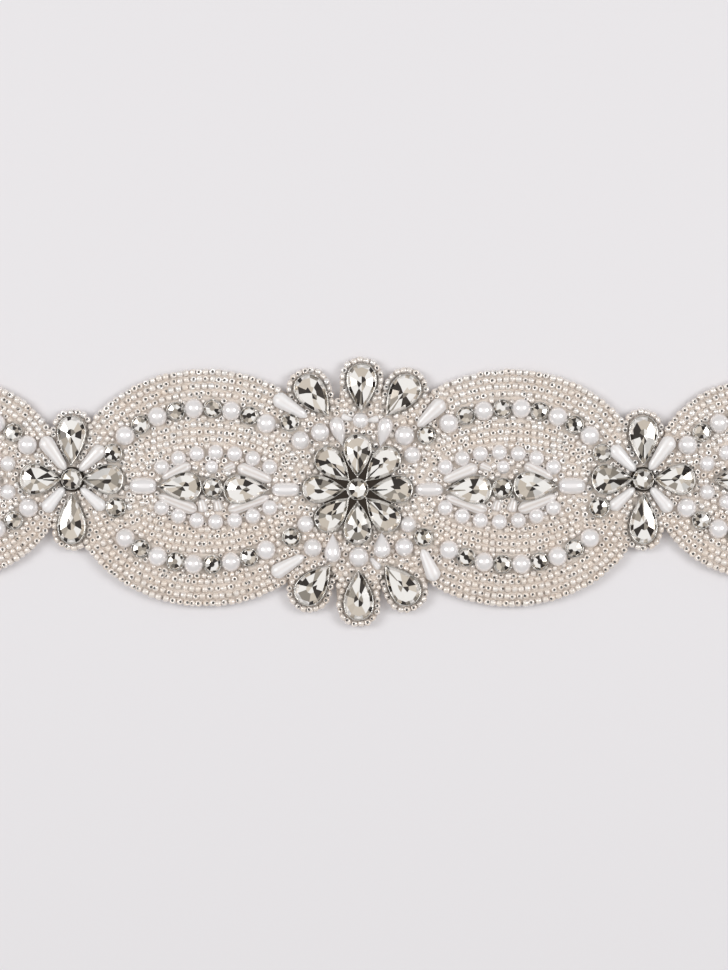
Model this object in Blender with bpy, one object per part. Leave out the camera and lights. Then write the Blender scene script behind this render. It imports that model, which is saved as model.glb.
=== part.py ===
"""Bridal sash laid flat: a scalloped, beaded pearl and crystal applique with two satin ribbon ties.

X runs along the sash, Y across it and Z up from the table. The origin is the middle of the
sash's footprint, at the table. Lengths in the tables are millimetres, made metres at the end.
"""

import math

import bmesh
import bpy
from mathutils import Matrix, Vector

MM = 0.001

# Cloth, beadwork and stones, by height above the table
GAP = 0.3
BACKING_THICK = 1.0
BEADWORK_THICK = 1.6
BEADWORK_LOW = BACKING_THICK + GAP
BEADWORK_TOP = BEADWORK_LOW + BEADWORK_THICK
STONE_LOW = BEADWORK_TOP + GAP
STONE_HEIGHT = 2.6
BEADWORK_INSET = 0.5

# Scallops of the outline: each is a half ellipse that swells from the sash's middle line
LOBE_X = 41.3
LOBE_Y = 0.4
LOBE_HALF = (37.5, 32.2)
END_LOBE_X = 110.0
END_LOBE_Y = 2.9
END_LOBE_HALF = (31.0, 27.5)
CROSS_X = 77.1
CROSS_Y = 2.7
CROSS_PETAL_HALF = (5.9, 8.6)
CROSS_PETAL_RISE = 10.2
FAN_HEAD_R = 6.2
FAN_ROOT_HALF = (22.0, 25.5)
EDGE_STEP_DEGREES = 9
EDGE_TOLERANCE = 0.13

# Seams between the beadwork panels, as distances from the middle of the sash
MEDALLION_WIDE = 21.4
MEDALLION_WAIST = 15.2
MEDALLION_STEP_OUTER = 7.2
MEDALLION_STEP_INNER = 6.6
CROSS_INNER_SEAM = 69.0
CROSS_OUTER_SEAM = 85.2

# Where the applique climbs onto the ribbon sewn under each end
RAMP_START = 125.0
RAMP_END = 129.5
RAMP_RISE = 1.3

# Ribbon ties: a lead under the applique's end, then an accordion of the rest of the ribbon
RIBBON_WIDE = 38.0
RIBBON_THICK = 1.0
RIBBON_START = 130.0
FOLD_INNER = 150.0
FOLD_OUTER = 245.0
FOLD_LAYERS = 8
FOLD_PITCH = 1.3
FOLD_CREASE = 0.6
FOLD_CORNER_R = 2.5
FOLD_DRIFT = (1.1, 0.7)
CUT_END_NEAR = 220.0
CUT_END_FAR = 240.0

# Beads that stand out of the beadwork: diameters, and how many sides each is drawn with
PEARL_D = 5.2
CHATON_D = 4.4
SMALL_PEARL_D = 4.2
PEARL_SIDES = 8
SMALL_PEARL_SIDES = 7
CHATON_SIDES = 8

# Rows of beads on half ellipses round a lobe's centre; a row alternates its two kinds
# columns: lobe, side, centre dx, half length, half height, first dx, last dx, beads, kinds
BEAD_ROWS = (
    ("lobe", 1, 0.0, 28.3, 21.5, -16.7, 21.4, 9, ("pearl", "chaton")),
    ("lobe", -1, 0.0, 28.3, 20.7, -16.6, 21.4, 9, ("pearl", "chaton")),
    ("lobe", 1, -3.0, 18.0, 9.6, -17.6, 11.6, 7, ("small", "small")),
    ("lobe", -1, -3.0, 18.0, 9.2, -17.6, 11.6, 7, ("small", "small")),
    ("end_lobe", 1, 0.0, 24.5, 17.3, -20.9, 21.1, 10, ("pearl", "chaton")),
    ("end_lobe", -1, 0.0, 24.5, 15.8, -21.2, 21.4, 10, ("pearl", "chaton")),
    ("end_lobe", 1, 0.0, 17.6, 8.6, -15.6, 13.0, 6, ("small", "small")),
    ("end_lobe", -1, 0.0, 17.6, 7.9, -15.6, 13.0, 6, ("small", "small")),
)

# Single beads on the lobes: lobe, dx, dy, length, width, kind
LOBE_BEADS = (
    ("lobe", -21.9, -0.5, 7.6, 3.8, "oblong"),
    ("lobe", 16.6, 0.5, 7.4, 4.4, "oblong"),
    ("lobe", 24.8, 9.4, 4.5, 4.5, "chaton"),
    ("lobe", 24.0, -5.3, 4.8, 4.8, "chaton"),
    ("end_lobe", 14.2, 0.0, 6.6, 4.0, "oblong"),
)

# Single beads of the medallion round the flower: x, y, length, width, lean in degrees, kind
MEDALLION_BEADS = (
    (0.8, 18.6, 4.3, 4.3, 0, "pearl"),
    (-15.4, 13.2, 5.0, 5.0, 0, "pearl"),
    (-10.1, 15.4, 5.0, 5.0, 0, "pearl"),
    (12.7, 14.5, 5.4, 5.4, 0, "pearl"),
    (14.8, 9.3, 4.6, 4.6, 0, "pearl"),
    (-14.0, -9.4, 4.6, 4.6, 0, "pearl"),
    (-12.1, -15.8, 5.0, 5.0, 0, "pearl"),
    (0.3, -18.3, 5.4, 5.4, 0, "pearl"),
    (12.6, -15.6, 5.0, 5.0, 0, "pearl"),
    (13.7, -9.5, 4.4, 4.4, 0, "pearl"),
    (-5.3, 16.6, 5.5, 4.0, 104, "oblong"),
    (7.4, 16.5, 5.5, 4.0, 76, "oblong"),
    (-6.7, -16.6, 5.4, 4.4, 90, "oblong"),
    (6.6, -15.9, 5.4, 4.4, 90, "oblong"),
    (-18.3, 18.0, 4.4, 4.4, 0, "chaton"),
    (18.6, 14.6, 4.4, 4.4, 0, "chaton"),
    (-17.9, -12.9, 4.4, 4.4, 0, "chaton"),
    (17.8, -13.0, 4.4, 4.4, 0, "chaton"),
)

# Pear stones of the flower, all alike round its centre
FLOWER_PETALS = 8
FLOWER_TIP_R = 3.5
FLOWER_PETAL = (11.1, 7.0)
FLOWER_CENTRE_D = 5.4

# Fan stones over and under the flower: tip x, tip y, lean in degrees, length, width
FAN_STONES = (
    (-8.0, 20.0, 126, 12.5, 7.6),
    (1.1, 21.2, 90, 12.5, 7.6),
    (8.0, 20.0, 54, 12.5, 7.6),
    (-7.6, -20.6, 231, 12.5, 7.6),
    (0.3, -22.1, 270, 13.0, 7.6),
    (7.6, -20.6, 309, 12.5, 7.6),
)

# Stones of each cross flower: tip distance, lean in degrees, length, width
CROSS_STONES = (
    (4.1, 90, 12.8, 7.2),
    (3.1, 0, 10.6, 7.8),
    (4.0, 270, 13.2, 7.0),
    (3.1, 180, 10.6, 7.6),
)
CROSS_CENTRE_D = 5.2

# Stones along each lobe's middle: lobe, tip dx, lean in degrees, length, width
LOBE_STONES = (
    ("lobe", -17.0, 0, 11.6, 7.4),
    ("lobe", 12.2, 180, 11.2, 7.4),
    ("end_lobe", -13.4, 0, 9.6, 6.6),
    ("end_lobe", 9.6, 180, 9.6, 6.6),
)
LOBE_CHATON_DX = -2.2
END_LOBE_CHATON_DX = -1.9
LOBE_CHATON_D = 5.0
END_LOBE_CHATON_D = 3.2
LOBE_RISE = 0.03

# The stones' cut: ring scale and height share, from the seat to the table facet
STONE_CUT = ((0.86, 0.0), (1.0, 0.35), (0.58, 1.0))
PEAR_SIDES = 10
PEAR_MIDDLE = 0.6
PEAR_FULLNESS = 0.77
ROUND_STONE_SIDES = 8

COLOURS = {
    "backing": ((0.83, 0.78, 0.72), 0.9, 0.0),
    "beadwork": ((0.78, 0.72, 0.66), 0.25, 0.0),
    "crystal": ((0.86, 0.85, 0.84), 0.05, 0.0),
    "satin": ((0.88, 0.86, 0.85), 0.4, 0.0),
}

LOBES = {
    "lobe": (LOBE_X, LOBE_Y),
    "end_lobe": (END_LOBE_X, END_LOBE_Y),
}


def fan_heads(side):
    """Centres of the rounded heads of the fan above (side 1) or below (side -1) the flower."""
    heads = []
    for tip_x, tip_y, lean, length, width in FAN_STONES:
        if tip_y * side < 0:
            continue
        reach = length - width / 2
        x = tip_x + reach * math.cos(math.radians(lean))
        y = tip_y + reach * math.sin(math.radians(lean))
        heads.append((x, y, FAN_HEAD_R, FAN_HEAD_R))
    return heads


def scallops(side):
    """Half ellipses whose outer hull is one edge of the sash: centre x, y, half width, height."""
    found = [(0.0, 0.0) + FAN_ROOT_HALF]
    for mirror in (-1, 1):
        found.append((mirror * LOBE_X, LOBE_Y) + LOBE_HALF)
        found.append((mirror * END_LOBE_X, END_LOBE_Y) + END_LOBE_HALF)
        found.append((mirror * CROSS_X, CROSS_Y + side * CROSS_PETAL_RISE) + CROSS_PETAL_HALF)
    return found + fan_heads(side)


def edge_height(x, side, inset):
    """Y of the sash's edge at x: the scallop that reaches furthest out on that side."""
    reach = []
    for centre_x, centre_y, half_width, half_height in scallops(side):
        share = (x - centre_x) / (half_width - inset)
        if abs(share) <= 1.0:
            reach.append(side * centre_y + (half_height - inset) * math.sqrt(1.0 - share * share))
    return side * max(reach)


def middle_y():
    """Y of the middle of the footprint, in the tables' own frame round the flower."""
    top = max(y + height for _, y, _, height in scallops(1))
    bottom = min(y - height for _, y, _, height in scallops(-1))
    return (top + bottom) / 2


MIDDLE_Y = middle_y()


def stations(low, high, inset):
    """X of the sections between low and high, close enough together to follow every scallop."""
    reach = END_LOBE_X + END_LOBE_HALF[0] - inset
    marks = {low, high, -RAMP_START, RAMP_START, -RAMP_END, RAMP_END}
    for side in (-1, 1):
        for centre_x, _, half_width, _ in scallops(side):
            for degrees in range(0, 181, EDGE_STEP_DEGREES):
                marks.add(round(centre_x + (half_width - inset) * math.cos(math.radians(degrees)), 3))
    rows = [x for x in sorted(marks) if low <= x <= high and abs(x) <= reach]
    keep = [rows[0]]
    for index in range(1, len(rows) - 1):
        if not section_is_idle(keep[-1], rows[index], rows[index + 1], inset):
            keep.append(rows[index])
    return keep + [rows[-1]]


def section_is_idle(before, x, after, inset):
    """True where both edges at x lie on the straight line between the sections beside it."""
    if abs(abs(x) - RAMP_START) < 0.01 or abs(abs(x) - RAMP_END) < 0.01:
        return False
    share = (x - before) / (after - before)
    for side in (-1, 1):
        straight = (1 - share) * edge_height(before, side, inset) + share * edge_height(after, side, inset)
        if abs(straight - edge_height(x, side, inset)) > EDGE_TOLERANCE:
            return False
    return True


def ramp(x):
    """Height that the applique gains at x where it climbs onto the ribbon."""
    share = (abs(x) - RAMP_START) / (RAMP_END - RAMP_START)
    return RAMP_RISE * min(max(share, 0.0), 1.0)


def material(name):
    """One plain Principled material, made once."""
    known = bpy.data.materials.get(name)
    if known:
        return known
    colour, roughness, metallic = COLOURS[name]
    made = bpy.data.materials.new(name)
    made.use_nodes = True
    shader = made.node_tree.nodes["Principled BSDF"]
    shader.inputs["Base Color"].default_value = colour + (1.0,)
    shader.inputs["Roughness"].default_value = roughness
    shader.inputs["Metallic"].default_value = metallic
    return made


def finish(bm, name, finish_name):
    """Turns a bmesh in millimetres round the flower into a named object in metres."""
    bmesh.ops.translate(bm, verts=bm.verts, vec=(0.0, -MIDDLE_Y, 0.0))
    bmesh.ops.scale(bm, verts=bm.verts, vec=(MM, MM, MM))
    bmesh.ops.recalc_face_normals(bm, faces=bm.faces)
    mesh = bpy.data.meshes.new(name)
    bm.to_mesh(mesh)
    bm.free()
    mesh.materials.append(material(finish_name))
    made = bpy.data.objects.new(name, mesh)
    bpy.context.scene.collection.objects.link(made)
    return made


def loft(bm, rings):
    """Skins a row of rings of equally many points, and closes both ends."""
    loops = [[bm.verts.new(point) for point in ring] for ring in rings]
    count = len(loops[0])
    for lower, upper in zip(loops, loops[1:]):
        for index in range(count):
            after = (index + 1) % count
            bm.faces.new((lower[index], lower[after], upper[after], upper[index]))
    bm.faces.new(loops[0])
    bm.faces.new(loops[-1])


def make_backing():
    """The scalloped ground cloth, a wall lofted through sections across the sash."""
    reach = END_LOBE_X + END_LOBE_HALF[0] - 0.05
    rings = []
    for x in stations(-reach, reach, 0.0):
        low = edge_height(x, -1, 0.0)
        high = edge_height(x, 1, 0.0)
        floor = ramp(x)
        roof = floor + BACKING_THICK
        rings.append([(x, low, floor), (x, high, floor), (x, high, roof), (x, low, roof)])
    bm = bmesh.new()
    loft(bm, rings)
    finish(bm, "backing", "backing")


def closed_loop(bm, points):
    """Edges of a closed loop through points on the beadwork's top face."""
    verts = [bm.verts.new((x, y, BEADWORK_TOP)) for x, y in points]
    return [bm.edges.new((verts[i - 1], verts[i])) for i in range(len(verts))]


def bead_rings(kind, radius):
    """Ring scale and height over the beadwork's top, from a bead's foot to its crown."""
    if kind == "chaton":
        return ((0.92, 1.0), (0.5, 2.0)), False
    sunk = radius - (BEADWORK_TOP - BACKING_THICK)
    return ((0.87, sunk + 0.5 * radius), (0.45, sunk + 0.9 * radius)), sunk + radius


def raise_bead(bm, foot, centre, kind, radius):
    """Grows a dome out of the beadwork from the loop of edges at a bead's foot."""
    rings, crown = bead_rings(kind, radius)
    edges = foot
    last_scale = 1.0
    last_height = 0.0
    for scale, height in rings:
        grown = bmesh.ops.extrude_edge_only(bm, edges=edges)["geom"]
        verts = [item for item in grown if isinstance(item, bmesh.types.BMVert)]
        edges = [item for item in grown if isinstance(item, bmesh.types.BMEdge)]
        ratio = scale / last_scale
        space = Matrix.Translation((-centre[0], -centre[1], 0.0))
        bmesh.ops.scale(bm, verts=verts, vec=(ratio, ratio, 1.0), space=space)
        bmesh.ops.translate(bm, verts=verts, vec=(0.0, 0.0, height - last_height))
        last_scale = scale
        last_height = height
    cap = bmesh.ops.edgeloop_fill(bm, edges=edges)["faces"]
    if crown:
        pole = bmesh.ops.poke(bm, faces=cap)["verts"]
        bmesh.ops.translate(bm, verts=pole, vec=(0.0, 0.0, crown - last_height))


def bead_outline(x, y, length, width, lean, sides):
    """Points of a bead's elliptical foot."""
    turn = math.radians(lean)
    points = []
    for index in range(sides):
        angle = 2 * math.pi * (index + 0.5) / sides
        along = length / 2 * math.cos(angle)
        across = width / 2 * math.sin(angle)
        points.append((
            x + along * math.cos(turn) - across * math.sin(turn),
            y + along * math.sin(turn) + across * math.cos(turn),
        ))
    return points


def make_panel(name, outline, beads):
    """A beadwork panel: a plain slab whose top face swells into pearls and set stones."""
    bm = bmesh.new()
    rim = closed_loop(bm, outline)
    feet = []
    for x, y, length, width, lean, kind in beads:
        sides = {"chaton": CHATON_SIDES, "small": SMALL_PEARL_SIDES}.get(kind, PEARL_SIDES)
        foot = closed_loop(bm, bead_outline(x, y, length, width, lean, sides))
        feet.append((foot, (x, y), kind, width / 2))
    edges = rim + [edge for foot, _, _, _ in feet for edge in foot]
    bmesh.ops.triangle_fill(bm, edges=edges, use_beauty=True)
    wall = bmesh.ops.extrude_edge_only(bm, edges=rim)["geom"]
    under = [item for item in wall if isinstance(item, bmesh.types.BMVert)]
    under_rim = [item for item in wall if isinstance(item, bmesh.types.BMEdge)]
    bmesh.ops.translate(bm, verts=under, vec=(0.0, 0.0, -BEADWORK_THICK))
    bmesh.ops.triangle_fill(bm, edges=under_rim, use_beauty=True)
    for foot, centre, kind, radius in feet:
        raise_bead(bm, foot, centre, kind, radius)
    climb(bm)
    finish(bm, name, "beadwork")


def climb(bm):
    """Bends whatever lies on the ramp up with it, after a cut along the ramp's two ends."""
    for x in (-RAMP_END, -RAMP_START, RAMP_START, RAMP_END):
        parts = list(bm.verts) + list(bm.edges) + list(bm.faces)
        bmesh.ops.bisect_plane(bm, geom=parts, dist=0.0001, plane_co=(x, 0, 0), plane_no=(1, 0, 0))
    for vert in bm.verts:
        vert.co.z += ramp(vert.co.x)


def edge_run(low, high, side):
    """Points along one edge of the beadwork from x low to x high."""
    return [(x, edge_height(x, side, BEADWORK_INSET)) for x in stations(low, high, BEADWORK_INSET)]


def strip_outline(low, high):
    """A panel between two straight seams across the sash."""
    return edge_run(low, high, -1) + edge_run(low, high, 1)[::-1]


def medallion_outline():
    """The middle panel: wide at its edges and narrow where the lobes reach the flower."""
    side = [
        (MEDALLION_WIDE, -MEDALLION_STEP_OUTER),
        (MEDALLION_WAIST, -MEDALLION_STEP_INNER),
        (MEDALLION_WAIST, MEDALLION_STEP_INNER),
        (MEDALLION_WIDE, MEDALLION_STEP_OUTER),
    ]
    other_side = [(-x, y) for x, y in side[::-1]]
    below = edge_run(-MEDALLION_WIDE, MEDALLION_WIDE, -1)
    above = edge_run(-MEDALLION_WIDE, MEDALLION_WIDE, 1)[::-1]
    return below + side + above + other_side


def lobe_outline():
    """The right lobe's panel, which reaches in to the flower between the medallion's steps."""
    inner = MEDALLION_WIDE + GAP
    waist = MEDALLION_WAIST + GAP
    tongue = [
        (inner, MEDALLION_STEP_OUTER - GAP),
        (waist, MEDALLION_STEP_INNER - GAP),
        (waist, GAP - MEDALLION_STEP_INNER),
        (inner, GAP - MEDALLION_STEP_OUTER),
    ]
    return strip_outline(inner, CROSS_INNER_SEAM) + tongue


def row_places(half_length, half_height, first, last, count):
    """Places equally far apart along a half ellipse, between two distances along it."""
    steps = 400
    start = math.acos(-first / half_length)
    stop = math.acos(-last / half_length)
    path = []
    for index in range(steps + 1):
        angle = start + (stop - start) * index / steps
        path.append((-half_length * math.cos(angle), half_height * math.sin(angle)))
    lengths = [0.0]
    for before, after in zip(path, path[1:]):
        lengths.append(lengths[-1] + math.dist(before, after))
    places = []
    for index in range(count):
        goal = lengths[-1] * index / (count - 1)
        nearest = min(range(steps + 1), key=lambda i: abs(lengths[i] - goal))
        places.append(path[nearest])
    return places


def lobe_beads(lobe):
    """Raised beads of one lobe on the right side, each as x, y, length, width, lean, kind."""
    centre_x, centre_y = LOBES[lobe]
    widths = {"pearl": PEARL_D, "chaton": CHATON_D, "small": SMALL_PEARL_D}
    beads = []
    for owner, side, shift, half_length, half_height, first, last, count, kinds in BEAD_ROWS:
        if owner != lobe:
            continue
        places = row_places(half_length, half_height, first - shift, last - shift, count)
        for index, (dx, dy) in enumerate(places):
            kind = kinds[index % 2]
            width = widths[kind]
            beads.append((centre_x + shift + dx, centre_y + side * dy, width, width, 0, kind))
    for owner, dx, dy, length, width, kind in LOBE_BEADS:
        if owner == lobe:
            beads.append((centre_x + dx, centre_y + dy, length, width, 0, kind))
    return beads


def mirrored(beads, side):
    """The same beads on the left (side -1) or right (side 1) half of the sash."""
    return [(side * x, y, length, width, side * lean, kind) for x, y, length, width, lean, kind in beads]


def make_panels():
    """All seven beadwork panels."""
    make_panel("medallion", medallion_outline(), MEDALLION_BEADS)
    end_reach = END_LOBE_X + END_LOBE_HALF[0] - BEADWORK_INSET - 0.05
    for side, word in ((-1, "left"), (1, "right")):
        lobe = [(side * x, y) for x, y in lobe_outline()]
        cross = [(side * x, y) for x, y in strip_outline(CROSS_INNER_SEAM + GAP, CROSS_OUTER_SEAM)]
        end = [(side * x, y) for x, y in strip_outline(CROSS_OUTER_SEAM + GAP, end_reach)]
        make_panel(f"lobe_{word}", lobe, mirrored(lobe_beads("lobe"), side))
        make_panel(f"cross_{word}", cross, [])
        make_panel(f"end_lobe_{word}", end, mirrored(lobe_beads("end_lobe"), side))


def pear_points(length, width):
    """A pear outline from its tip at the origin, its round head towards +X."""
    points = []
    for index in range(PEAR_SIDES):
        angle = 2 * math.pi * index / PEAR_SIDES
        along = length / 2 * (1 - math.cos(angle))
        across = width / 2 * math.sin(angle) * math.sin(angle / 2) / PEAR_FULLNESS
        points.append((along, across))
    return points


def make_stone(name, points, middle, place, lean):
    """A cut stone over an outline: a seat, a girdle and a table facet."""
    rings = []
    for scale, share in STONE_CUT:
        height = STONE_LOW + share * STONE_HEIGHT
        rings.append([
            (middle + scale * (x - middle), scale * y, height)
            for x, y in points
        ])
    bm = bmesh.new()
    loft(bm, rings)
    turn = Matrix.Rotation(math.radians(lean), 4, "Z")
    bmesh.ops.transform(bm, matrix=Matrix.Translation(Vector(place)) @ turn, verts=bm.verts)
    finish(bm, name, "crystal")


def make_pear(name, tip, lean, length, width):
    """A pear stone from its tip's place and the way that its head points."""
    make_stone(name, pear_points(length, width), length * PEAR_MIDDLE, (tip[0], tip[1], 0.0), lean)


def make_round_stone(name, centre, diameter):
    """A round stone about its centre."""
    points = bead_outline(0.0, 0.0, diameter, diameter, 0, ROUND_STONE_SIDES)
    make_stone(name, points, 0.0, (centre[0], centre[1], 0.0), 0)


def make_flower():
    """The eight petal flower in the middle of the medallion, and the fans over and under it."""
    make_round_stone("flower_centre", (0.0, 0.0), FLOWER_CENTRE_D)
    for index in range(FLOWER_PETALS):
        lean = 90 - index * 360 / FLOWER_PETALS
        tip = (
            FLOWER_TIP_R * math.cos(math.radians(lean)),
            FLOWER_TIP_R * math.sin(math.radians(lean)),
        )
        make_pear(f"flower_petal_{index + 1}", tip, lean, *FLOWER_PETAL)
    for index, (tip_x, tip_y, lean, length, width) in enumerate(FAN_STONES):
        make_pear(f"fan_stone_{index + 1}", (tip_x, tip_y), lean, length, width)


def make_side_stones(side, word):
    """Stones of the cross flower and the two lobes on one side of the medallion."""
    make_round_stone(f"cross_centre_{word}", (side * CROSS_X, CROSS_Y), CROSS_CENTRE_D)
    for index, (tip_r, lean, length, width) in enumerate(CROSS_STONES):
        turned = lean if side > 0 else 180 - lean
        tip = (
            side * CROSS_X + tip_r * math.cos(math.radians(turned)),
            CROSS_Y + tip_r * math.sin(math.radians(turned)),
        )
        make_pear(f"cross_stone_{index + 1}_{word}", tip, turned, length, width)
    for index, (lobe, tip_dx, lean, length, width) in enumerate(LOBE_STONES):
        centre_x, centre_y = LOBES[lobe]
        turned = lean if side > 0 else 180 - lean
        tip = (side * (centre_x + tip_dx), centre_y + LOBE_RISE * tip_dx)
        make_pear(f"lobe_stone_{index + 1}_{word}", tip, turned, length, width)
    chaton = (side * (LOBE_X + LOBE_CHATON_DX), LOBE_Y + LOBE_RISE * LOBE_CHATON_DX)
    end_chaton = (side * (END_LOBE_X + END_LOBE_CHATON_DX), END_LOBE_Y)
    make_round_stone(f"lobe_chaton_{word}", chaton, LOBE_CHATON_D)
    make_round_stone(f"end_lobe_chaton_{word}", end_chaton, END_LOBE_CHATON_D)


def fold_ring(layer, height, inset):
    """One ring of the folded ribbon: a rounded rectangle, drawn in by a crease's depth."""
    drift_x = FOLD_DRIFT[0] * math.sin(2.1 * layer)
    drift_y = FOLD_DRIFT[1] * math.sin(1.3 * layer + 0.5)
    near = FOLD_INNER + drift_x + inset
    bottom = END_LOBE_Y - RIBBON_WIDE / 2 + drift_y + inset
    top = END_LOBE_Y + RIBBON_WIDE / 2 + drift_y - inset
    last = layer == FOLD_LAYERS - 1
    far_bottom = (CUT_END_NEAR if last else FOLD_OUTER + drift_x) - inset
    far_top = (CUT_END_FAR if last else FOLD_OUTER + drift_x) - inset
    corners = (
        (near, bottom, 180),
        (far_bottom, bottom, 270),
        (far_top, top, 0),
        (near, top, 90),
    )
    ring = []
    for x, y, first in corners:
        centre_x = x + (FOLD_CORNER_R if x == near else -FOLD_CORNER_R)
        centre_y = y + (FOLD_CORNER_R if y == bottom else -FOLD_CORNER_R)
        for degrees in (first, first + 45, first + 90):
            angle = math.radians(degrees)
            ring.append((
                centre_x + FOLD_CORNER_R * math.cos(angle),
                centre_y + FOLD_CORNER_R * math.sin(angle),
                height,
            ))
    return ring


def make_tie(side, word):
    """A ribbon tie: its lead as a wall, and its folded length as one solid, layered at the edge."""
    low = END_LOBE_Y - RIBBON_WIDE / 2
    high = END_LOBE_Y + RIBBON_WIDE / 2
    bm = bmesh.new()
    rings = []
    for x in (RIBBON_START, FOLD_OUTER):
        rings.append([
            (side * x, low, 0.0),
            (side * x, high, 0.0),
            (side * x, high, RIBBON_THICK),
            (side * x, low, RIBBON_THICK),
        ])
    loft(bm, rings)
    finish(bm, f"tie_{word}", "satin")
    base = RIBBON_THICK + GAP
    rings = []
    for layer in range(FOLD_LAYERS):
        floor = base + layer * FOLD_PITCH
        rings.append(fold_ring(layer, floor, FOLD_CREASE))
        rings.append(fold_ring(layer, floor + FOLD_PITCH * 0.3, 0.0))
        rings.append(fold_ring(layer, floor + FOLD_PITCH * 0.75, 0.0))
    rings.append(fold_ring(FOLD_LAYERS - 1, base + FOLD_LAYERS * FOLD_PITCH, FOLD_CREASE))
    bm = bmesh.new()
    loft(bm, [[(side * x, y, z) for x, y, z in ring] for ring in rings])
    finish(bm, f"tie_folds_{word}", "satin")


def main():
    for old in list(bpy.data.objects):
        bpy.data.objects.remove(old, do_unlink=True)
    make_backing()
    make_panels()
    make_flower()
    for side, word in ((-1, "left"), (1, "right")):
        make_side_stones(side, word)
        make_tie(side, word)


main()
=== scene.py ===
"""Looks of the beaded bridal sash: glass seed beads, pearls, cut stones in settings, ground cloth
and satin ties, laid flat on a pale surface and seen straight from above.
"""

import math
import random

import bmesh
import bpy
import numpy as np
from mathutils import Matrix, Vector


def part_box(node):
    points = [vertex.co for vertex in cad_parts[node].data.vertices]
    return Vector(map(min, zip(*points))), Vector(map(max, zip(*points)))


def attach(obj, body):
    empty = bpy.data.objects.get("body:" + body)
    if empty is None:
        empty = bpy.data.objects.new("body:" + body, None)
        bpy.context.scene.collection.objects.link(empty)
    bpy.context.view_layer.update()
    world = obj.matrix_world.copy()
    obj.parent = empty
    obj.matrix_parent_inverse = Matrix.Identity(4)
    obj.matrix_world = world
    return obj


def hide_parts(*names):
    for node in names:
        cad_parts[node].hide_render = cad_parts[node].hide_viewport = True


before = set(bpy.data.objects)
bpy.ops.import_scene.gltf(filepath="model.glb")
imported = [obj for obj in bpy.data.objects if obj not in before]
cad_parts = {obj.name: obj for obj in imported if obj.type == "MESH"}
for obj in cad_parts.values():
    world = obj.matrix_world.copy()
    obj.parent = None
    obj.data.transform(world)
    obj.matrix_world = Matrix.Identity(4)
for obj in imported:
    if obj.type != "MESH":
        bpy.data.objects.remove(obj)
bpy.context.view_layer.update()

# Lengths are millimetres round the flower's centre, made metres when a piece is finished
MM = 0.001
FLOWER = sum(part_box("flower_centre"), Vector()) / 2
TO_WORLD = Matrix.Translation((FLOWER.x, FLOWER.y, 0.0)) @ Matrix.Scale(MM, 4)
BACKING_TOP = 1.0
NET_TOP = 2.2
SEED_HEIGHT = 2.15
WORDS = ((-1, "left"), (1, "right"))

# The outline's scallops, as half ellipses: centre x, centre y, half width, half height
LOBE = (41.3, 0.4, 37.5, 32.2)
END_LOBE = (110.0, 2.9, 31.0, 27.5)
CROSS = (77.1, 2.7)
CROSS_PETAL_HALF = (5.9, 8.6)
CROSS_PETAL_RISE = 10.2
FAN_HEAD_R = 6.2
FAN_ROOT = (0.0, 0.0, 22.0, 25.5)
SASH_END = END_LOBE[0] + END_LOBE[2]

# Where the applique climbs onto the ribbon sewn under each end
RAMP = (125.0, 129.5, 1.3)

# Panels of beadwork by the distance of their outer seam from the flower
PANELS = (("medallion", 19.4), ("lobe", 69.2), ("cross", 85.3), ("end_lobe", 150.0))

# Rows of pearls and set stones on half ellipses round a lobe's centre
# columns: lobe, side, centre dx, half length, half height, first dx, last dx, beads, kinds
BEAD_ROWS = (
    ("lobe", 1, 0.0, 28.3, 21.5, -16.7, 21.4, 9, ("pearl", "chaton")),
    ("lobe", -1, 0.0, 28.3, 20.7, -16.6, 21.4, 9, ("pearl", "chaton")),
    ("lobe", 1, -3.0, 18.0, 9.6, -17.6, 11.6, 7, ("small", "small")),
    ("lobe", -1, -3.0, 18.0, 9.2, -17.6, 11.6, 7, ("small", "small")),
    ("end_lobe", 1, 0.0, 24.5, 17.3, -20.9, 21.1, 10, ("pearl", "chaton")),
    ("end_lobe", -1, 0.0, 24.5, 15.8, -21.2, 21.4, 10, ("pearl", "chaton")),
    ("end_lobe", 1, 0.0, 17.6, 8.6, -15.6, 13.0, 6, ("small", "small")),
    ("end_lobe", -1, 0.0, 17.6, 7.9, -15.6, 13.0, 6, ("small", "small")),
)
BEAD_D = {"pearl": 5.2, "chaton": 4.4, "small": 4.2}

# Single beads on a lobe: lobe, dx, dy, length, width, kind
LOBE_BEADS = (
    ("lobe", -21.9, -0.5, 7.6, 3.8, "oblong"),
    ("lobe", 16.6, 0.5, 7.4, 4.4, "oblong"),
    ("lobe", 24.8, 9.4, 4.5, 4.5, "chaton"),
    ("lobe", 24.0, -5.3, 4.8, 4.8, "chaton"),
    ("end_lobe", 14.2, 0.0, 6.6, 4.0, "oblong"),
)

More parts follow.
